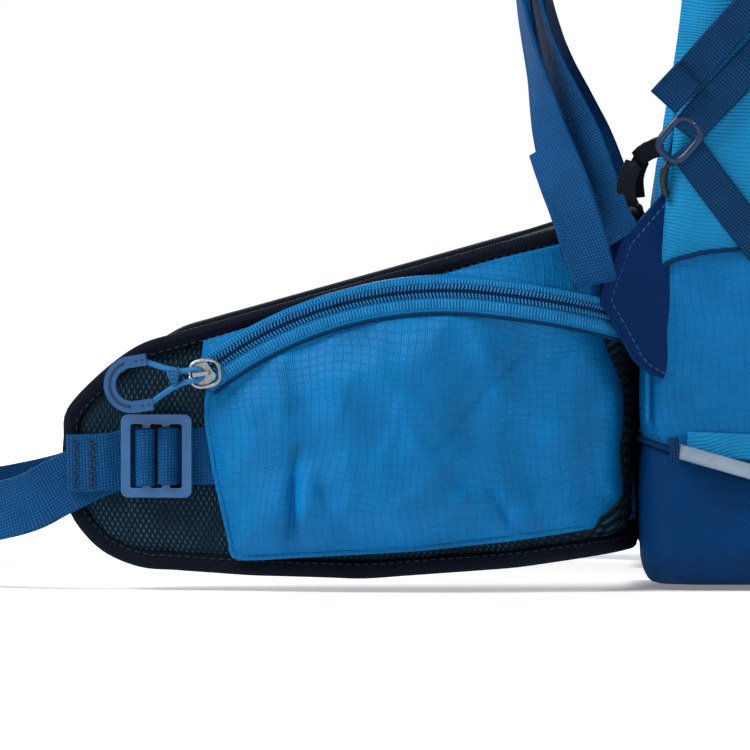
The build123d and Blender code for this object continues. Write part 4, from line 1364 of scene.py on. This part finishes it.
anchor = [flat(a, o, 56.5) for a, o in ((112, 8.6), (124, 8.4), (134, 8.6), (137.4, 13.6), (141, 14.6), (143.4, 12.6), (143.6, 10.4))]
anchor_strap = sweep("belt_anchor_webbing_left", smooth(anchor, 1.5), UP, flat_section(24.4, 1.5), strap_blue)
settle(anchor_strap, "pack", slot="webbing")
mirrored(anchor_strap)
belt_path = [
    flat(147.4, 8.6, 56.5), flat(149, 7.9, 56.4), flat(152.6, 7.4, 56.2), flat(161, 7.6, 54.5), flat(174, 9.2, 49.5),
    flat(188, 9.2, 42.5), flat(204, 8.2, 35), (138, -300, 28.5), (104, -333, 25.5), (66, -347, 24), (34, -347, 24),
]
belt_strap = strap("belt_webbing_left", belt_path, 24.6, 1.5, (0, 0, 1), strap_blue, "pack", "belt_web_left")
right_path = [(-p[0], p[1], p[2]) for p in belt_path[:-1]] + [(-22, -347, 24)]
strap("belt_webbing_right", right_path, 24.6, 1.5, (0, 0, 1), strap_blue, "pack", "belt_web_right")
tail_path = [flat(a, o, z) for a, o, z in (
    (145.7, 10.4, 56), (146.0, 12.6, 56), (147.0, 14.2, 56), (149, 14.7, 56), (151, 14.2, 55.8), (152.6, 12.4, 55.6),
    (153.4, 10.0, 55.4), (155.2, 8.5, 55), (159, 8.5, 54.6), (162.5, 9.6, 54.2), (167, 11.4, 53.8), (174, 12.0, 53.4),
    (183, 12.0, 53.2),
)]
tail = sweep("belt_tail_left", smooth(tail_path, 1.2), UP, flat_section(24.4, 1.5), strap_blue)
settle(tail, "pack", slot="webbing")
mirrored(tail)
zigzag = [flat(a, 12.75, z) for a, z in [(170.5 + (2.6 if i % 2 else 0), 42.5 + 21.6 * i / 16) for i in range(17)]]
dashes("belt_tack_left", zigzag, OUT, thread, "pack", 1.9, 0.35, 0.6, 0.5)
zigzag = [flat(a, 12.75, z) for a, z in [(177.5 + (2.4 if i % 2 else 0), 42.5 + 21.6 * i / 16) for i in range(17)]]
dashes("belt_tack_b_left", zigzag, OUT, thread, "pack", 1.9, 0.35, 0.6, 0.5)

# ------------------------------------------------------------------ harness
for node, voxel in (("lumbar_pad", 4.5), ("back_pad", 4.0)):
    pad = node_copy(node, node + "_soft", mesh_cloth)
    puffed(pad, voxel, 4, 2.2)
    settle(pad, "pack", node, "spacer_mesh")


def strap_edges(z):
    inner = line([(325, 90), (390, 64), (450, 46), (520, 38), (590, 34)], z)
    outer = line([(325, 126), (390, 121), (450, 112), (520, 102), (590, 92)], z)
    return inner, outer


strap_line = [(7, 458), (7, 515)]
for step in range(1, 13):
    a = math.radians(15 * step)
    strap_line.append((7 - 42 + 42 * math.cos(a), 515 + 42 * math.sin(a)))
strap_line += [(-77, 490), (-77, 460), (-77, 430), (-77, 407)]
for step in range(1, 6):
    a = math.radians(20.4 * step / 5)
    strap_line.append((-77 + 200 * (1 - math.cos(a)), 407 - 200 * math.sin(a)))
core = [(p.y, p.z) for p in smooth([(0, d, z) for d, z in strap_line], 6)]
outer_face, inner_face = [], []
for i, (d, z) in enumerate(core):
    d2, z2 = core[min(i + 1, len(core) - 1)]
    d1, z1 = core[max(i - 1, 0)]
    t = Vector((0, d2 - d1, z2 - z1)).normalized()
    n = Vector((0, t.z, -t.y))
    inner, outer = strap_edges(z)
    end = min(1, i / 3, (len(core) - 1 - i) / 3)
    for face, sign in ((outer_face, 1), (inner_face, -1)):
        row = []
        for j in range(13):
            v = j / 12
            half = 5.0 * (1 - abs(2 * v - 1) ** 6 * 0.4) * (0.55 + 0.45 * end)
            row.append(Vector((lerp(inner + 1.4, outer - 1.4, v), d, z)) + n * half * sign)
        face.append(row)
pad = shell("shoulder_strap_left", outer_face, inner_face, mesh_cloth)
puffed(pad, 3.5, 4, 1.4)
settle(pad, "pack", "shoulder_strap_left", "spacer_mesh")
pad_right = mirrored(pad)
for label, pick in (("inner", 0), ("outer", 1)):
    edge = [Vector((strap_edges(z)[pick] + (1.6 if pick == 0 else -1.6), d, z)) for d, z in core]
    tape = sweep(f"shoulder_edge_{label}_left", edge, (1, 0, 0), box_section(4.6, 12.4, 2.2), edge_tape)
    settle(tape, "pack", slot="binding")
    mirrored(tape)
rail = [Vector((66, -87, z)) for z in (428, 434, 470, 506, 512)]
rail_piece = sweep("sternum_rail_left", rail, (1, 0, 0), round_section(1.5, 12), black_plastic)
settle(rail_piece, "pack", slot="lock_plastic")
mirrored(rail_piece)
for z in (430, 510):
    foot = [Vector((66, -83.2, z)), Vector((66, -86, z)), Vector((66, -89.4, z))]
    post = sweep(f"sternum_rail_post_{z}_left", foot, (1, 0, 0), box_section(8, 8, 1.6), black_plastic)
    settle(post, "pack", slot="lock_plastic")
    mirrored(post)
spine = [(Vector((lerp(*strap_edges(z), 0.5), d, z)), z) for d, z in core]
front_run = [p + Vector((0, -6.9, 0)) for p, z in spine if p.y < -76.5 and z < 520]
front_web = sweep("shoulder_webbing_left", front_run, (1, 0, 0), flat_section(20, 1.5), strap_blue)
settle(front_web, "pack", slot="webbing")
mirrored(front_web)

LOCK = Vector((107, -64 + 13 * math.sin(math.radians(20.8)) - 0.03, 336 - 13 * math.cos(math.radians(20.8))))
LOCK_RUN = Vector((0, math.sin(math.radians(20.8)), -math.cos(math.radians(20.8))))
LOCK_FACE = Vector((1, 0, 0)).cross(LOCK_RUN)


def over_lock(ahead, out):
    return LOCK + LOCK_RUN * ahead + LOCK_FACE * out


spread = [(1, 0, 0), (1, 0, 0), (1, 0.12, 0), (1, 0.3, 0), (0.75, 0.66, 0), (0.1, 0.99, 0), (-0.35, 0.93, 0)]
strand = [over_lock(1, 3.1), over_lock(17, 3.1), (112, -51, 262), (124, -43, 225), (140, -33, 197), (164.6, -19, 160), (165.6, -13, 148)]
fixed = strap("strap_webbing_left", strand, 19.6, 1.6, spread, strap_blue, "pack", "strap_web_left")
mirrored(fixed)
tail = [over_lock(1, -3.3), over_lock(17, -3.3), (113, -57, 258), (132, -50, 220), (156, -42, 189), (173, -32, 160), (177, -23.5, 129)]
loose = strap("strap_tail_left", tail, 19.6, 2.2, spread, strap_blue, "pack", slot="webbing")
mirrored(loose)
# the tail's end, folded back on itself and sewn
fold = [(158, -43.4, 187.5), (166.5, -38.2, 174), (174.4, -32, 158), (178.9, -23.4, 130)]
fold_spread = [(0.5, 0.85, 0), (0.3, 0.95, 0), (0.05, 0.99, 0), (-0.35, 0.93, 0)]
fold_piece = strap("strap_fold_left", fold, 20, 1.8, fold_spread, strap_blue, "pack")
mirrored(fold_piece)
tongue = [over_lock(-19, 0.2), over_lock(-13, -2.6), over_lock(-9.6, -3.2), over_lock(-6.4, -2.4), over_lock(-5.9, 0), over_lock(-6.4, 2.4), over_lock(-9.6, 3.2), over_lock(-13, 2.6), over_lock(-19, 0.4)]
tongue_piece = sweep("strap_tongue_left", smooth(tongue, 1.2), (1, 0, 0), flat_section(19.6, 1.4), strap_blue)
settle(tongue_piece, "pack", slot="webbing")
mirrored(tongue_piece)


# ------------------------------------------------------------------ stabiliser wings
def wing_x(d, z):
    base = 156 + (9 - d) * 12.5 / 33
    return base + 0.9 * wrinkle((0, d, z), 22, 71)


WING_FRONT = [(88, 8), (95.3, -6.7), (112.6, -16.3), (122.6, -21.8), (145.7, -13.4), (171, 8)]
wing_rows = []
for i in range(31):
    z = lerp(89, 170, i / 30)
    front = line(WING_FRONT, z)
    row = []
    for j in range(15):
        d = lerp(front, 9, j / 14)
        row.append(at(wing_x(d, z), d, z))
    wing_rows.append(row)
wing = cloth_grid("belt_wing_left", wing_rows, wing_cloth, 1.4, inward=False, levels=1)
settle(wing, "pack", "belt_wing_left", "wing_cloth")
mirrored(wing)
wing_edge = [Vector((wing_x(line(WING_FRONT, z), z) + 0.4, line(WING_FRONT, z) + 0.6, z)) for z in range(90, 170, 4)]
wing_hem = sweep("belt_wing_hem_left", smooth(wing_edge, 3), (1, 0, 0), box_section(2.6, 1.8, 0.8), wing_cloth)
settle(wing_hem, "pack", slot="wing_cloth")
mirrored(wing_hem)
dashes("belt_wing_stitches_left", [p + Vector((1.6, 4.2, 0)) for p in smooth(wing_edge, 3)], (1, 0.3, 0), blue_thread, "pack", 2.2, 1.1, 0.5, 0.4)
# black webbing loop and hook at the wing's top
black_loop = [(160, -10.0, 162), (160, -10.6, 171), (159.6, -7.6, 179.5), (159, -1.6, 185), (158.4, 5, 187)]
loop_spread = [(0, 1, 0), (0, 1, 0.2), (0, 0.8, 0.6), (0, 0.3, 1), (0, 0, 1)]
loop_piece = strap("wing_loop_left", black_loop, 8, 1.4, loop_spread, strap_black, "pack")
mirrored(loop_piece)
hook = [(161, 6, 166), (162, 4.5, 172), (162.4, 5.5, 178), (161.5, 9, 181)]
hook_piece = sweep("wing_hook_left", smooth(hook, 1.5), (1, 0, 0), box_section(4.2, 2.6, 1.0), black_plastic)
settle(hook_piece, "pack", slot="lock_plastic")
mirrored(hook_piece)

# ------------------------------------------------------------------ compression straps, rings and pole loop
upper_run = [(165.9, 14, 192), (166.6, 19, 198), (166.4, 40, 220), (166.0, 80, 264), (165, 120, 310), (163.6, 151, 348)]
upper = strap("side_strap_upper_left", upper_run, 14.6, 1.4, (0, 0.7, -0.7), strap_dark, "pack", "side_strap_upper_left")
mirrored(upper)
tail_run = [(166.2, 12, 213), (168.2, 40, 244), (168, 80, 288), (167, 120, 330), (165.4, 147, 351)]
upper_tail = strap("side_tail_left", tail_run, 14.2, 2.2, (0, 0.7, -0.7), strap_dark, "pack")
mirrored(upper_tail)
end_fold = [(167.4, 5.0, 205.6), (168.4, 9, 210), (168.2, 16, 217.5)]
end_piece = strap("side_tail_end_left", end_fold, 14.4, 3.2, (0, 0.7, -0.7), strap_dark, "pack")
mirrored(end_piece)
lower_run = [(165.2, 14, 187), (165.6, 22, 176), (165.4, 34, 160), (164.6, 47, 143)]
lower_strap = strap("side_strap_lower_left", lower_run, 14.6, 1.4, (0, 0.75, 0.65), strap_dark, "pack", "side_strap_lower_left")
mirrored(lower_strap)
POLE = [(164.45, 9, 59.5), (164.45, 52, 47), (164.45, 90, 38), (164.45, 114, 58)]
pole = cord_curve("pole_loop_tube", [at(*p) for p in POLE], 6.5, clear_tube)
settle(pole, "pack", "pole_loop", "clear_tube")
patch_run = [(161.6, 15, 61.5), (161.8, 40, 60.5), (161.8, 80, 59), (161.6, 119, 58.5)]
patch = sweep("pole_patch", smooth(patch_run, 4), (0, 0, 1), flat_section(11, 1.2), stretch)
settle(patch, "pack", "pole_loop_patch", "binding")
tack = sweep("pole_tack", smooth([(166.2, 9.2, 64.5), (167.8, 9.8, 59.4), (166.4, 9.4, 54.5)], 1.2), (0, 1, 0), flat_section(4.4, 1.4), strap_dark)
settle(tack, "pack", slot="webbing")

ring_path = []
for step in range(33):
    a = 2 * math.pi * step / 32
    u = 9.0 * math.copysign(abs(math.cos(a)) ** 0.6, math.cos(a))
    v = 6.4 * math.copysign(abs(math.sin(a)) ** 0.6, math.sin(a))
    c, q = math.cos(math.radians(50)), math.sin(math.radians(50))
    ring_path.append((165.9, 11.8 + u * c - v * q, 190 + u * q + v * c))
ring_piece = sweep("side_ring_left", ring_path, (1, 0, 0), round_section(1.7, 10), ring_plastic)
settle(ring_piece, "pack", "side_ring_left", "lock_plastic")
mirrored(ring_piece)

# ------------------------------------------------------------------ haul handle and sternum strap
handle_run = [(-56, 51, 634), (-50, 51, 645), (-30, 51, 665), (0, 51, 675), (30, 51, 665), (50, 51, 645), (56, 51, 634)]
strap("haul_handle_webbing", handle_run, 21.6, 2.8, (0, 1, 0), strap_dark, "pack", "haul_handle")
sleeve = [(-26, 51, 668.2), (0, 51, 674.4), (26, 51, 668.2)]
settle(sweep("haul_handle_grip", smooth([Vector(p) - Vector((0, 0, 0.6)) for p in sleeve], 3), (0, 1, 0), box_section(21, 4.6, 1.8), edge_tape), "pack", slot="binding")
left_chest = [(21, -91, 470), (40, -91.2, 470), (62, -91, 470)]
strap("sternum_webbing_left", left_chest, 19.6, 1.5, (0, 0, 1), strap_dark, "sternum_body", "sternum_web_left")
right_chest = [(-13, -91, 470), (-40, -91.2, 470), (-62, -91, 470)]
strap("sternum_webbing_right", right_chest, 19.6, 1.5, (0, 0, 1), strap_dark, "sternum_body", "sternum_web_right")

# ------------------------------------------------------------------ floor and light
def plane(name, size, z):
    s = size / 2
    return new_mesh(name, [(-s, -s, z), (s, -s, z), (s, s, z), (-s, s, z)], [(0, 1, 2, 3)], floor_paint)


floor_finish = Finish("floor_paint", rough=0.85, specular=0.1)
floor_finish.put("Base Color", (0.95, 0.95, 0.96, 1))
floor_finish.put("Emission Color", (1, 1, 1, 1))
floor_finish.put("Emission Strength", 0.2)
floor_paint = floor_finish.mat
floor = plane("floor", 16, -0.0005)
world = bpy.data.worlds.new("studio")
world.use_nodes = True
sky = world.node_tree
shown = sky.nodes.new("ShaderNodeBackground")
shown.inputs[0].default_value = (1, 1, 1, 1)
lit = sky.nodes["Background"]
lit.inputs[0].default_value = (1, 1, 1, 1)
lit.inputs[1].default_value = 0.17
rays = sky.nodes.new("ShaderNodeLightPath")
choice = sky.nodes.new("ShaderNodeMixShader")
sky.links.new(rays.outputs["Is Camera Ray"], choice.inputs[0])
sky.links.new(lit.outputs[0], choice.inputs[1])
sky.links.new(shown.outputs[0], choice.inputs[2])
sky.links.new(choice.outputs[0], sky.nodes["World Output"].inputs[0])
scene.world = world


def softbox(name, place_at, aim, size, power):
    lamp = bpy.data.lights.new(name, "AREA")
    lamp.size = size
    lamp.energy = power
    obj = bpy.data.objects.new(name, lamp)
    scene.collection.objects.link(obj)
    obj.location = place_at
    obj.rotation_euler = (Vector(aim) - Vector(place_at)).to_track_quat("-Z", "Y").to_euler()


sun_lamp = bpy.data.lights.new("key", "SUN")
sun_lamp.energy = 3.1
sun_lamp.angle = math.radians(28)
sun = bpy.data.objects.new("key", sun_lamp)
scene.collection.objects.link(sun)
sun.rotation_euler = Vector((-0.3, 0.66, -0.78)).to_track_quat("-Z", "Y").to_euler()
softbox("fill", (1.9, -0.4, 0.7), (0.1, 0, 0.2), 1.6, 3)
softbox("left_fill", (-1.7, -0.5, 1.2), (-0.1, 0, 0.3), 1.3, 24)
softbox("back", (0.2, 2.2, 1.3), (0, 0.1, 0.3), 1.6, 26)
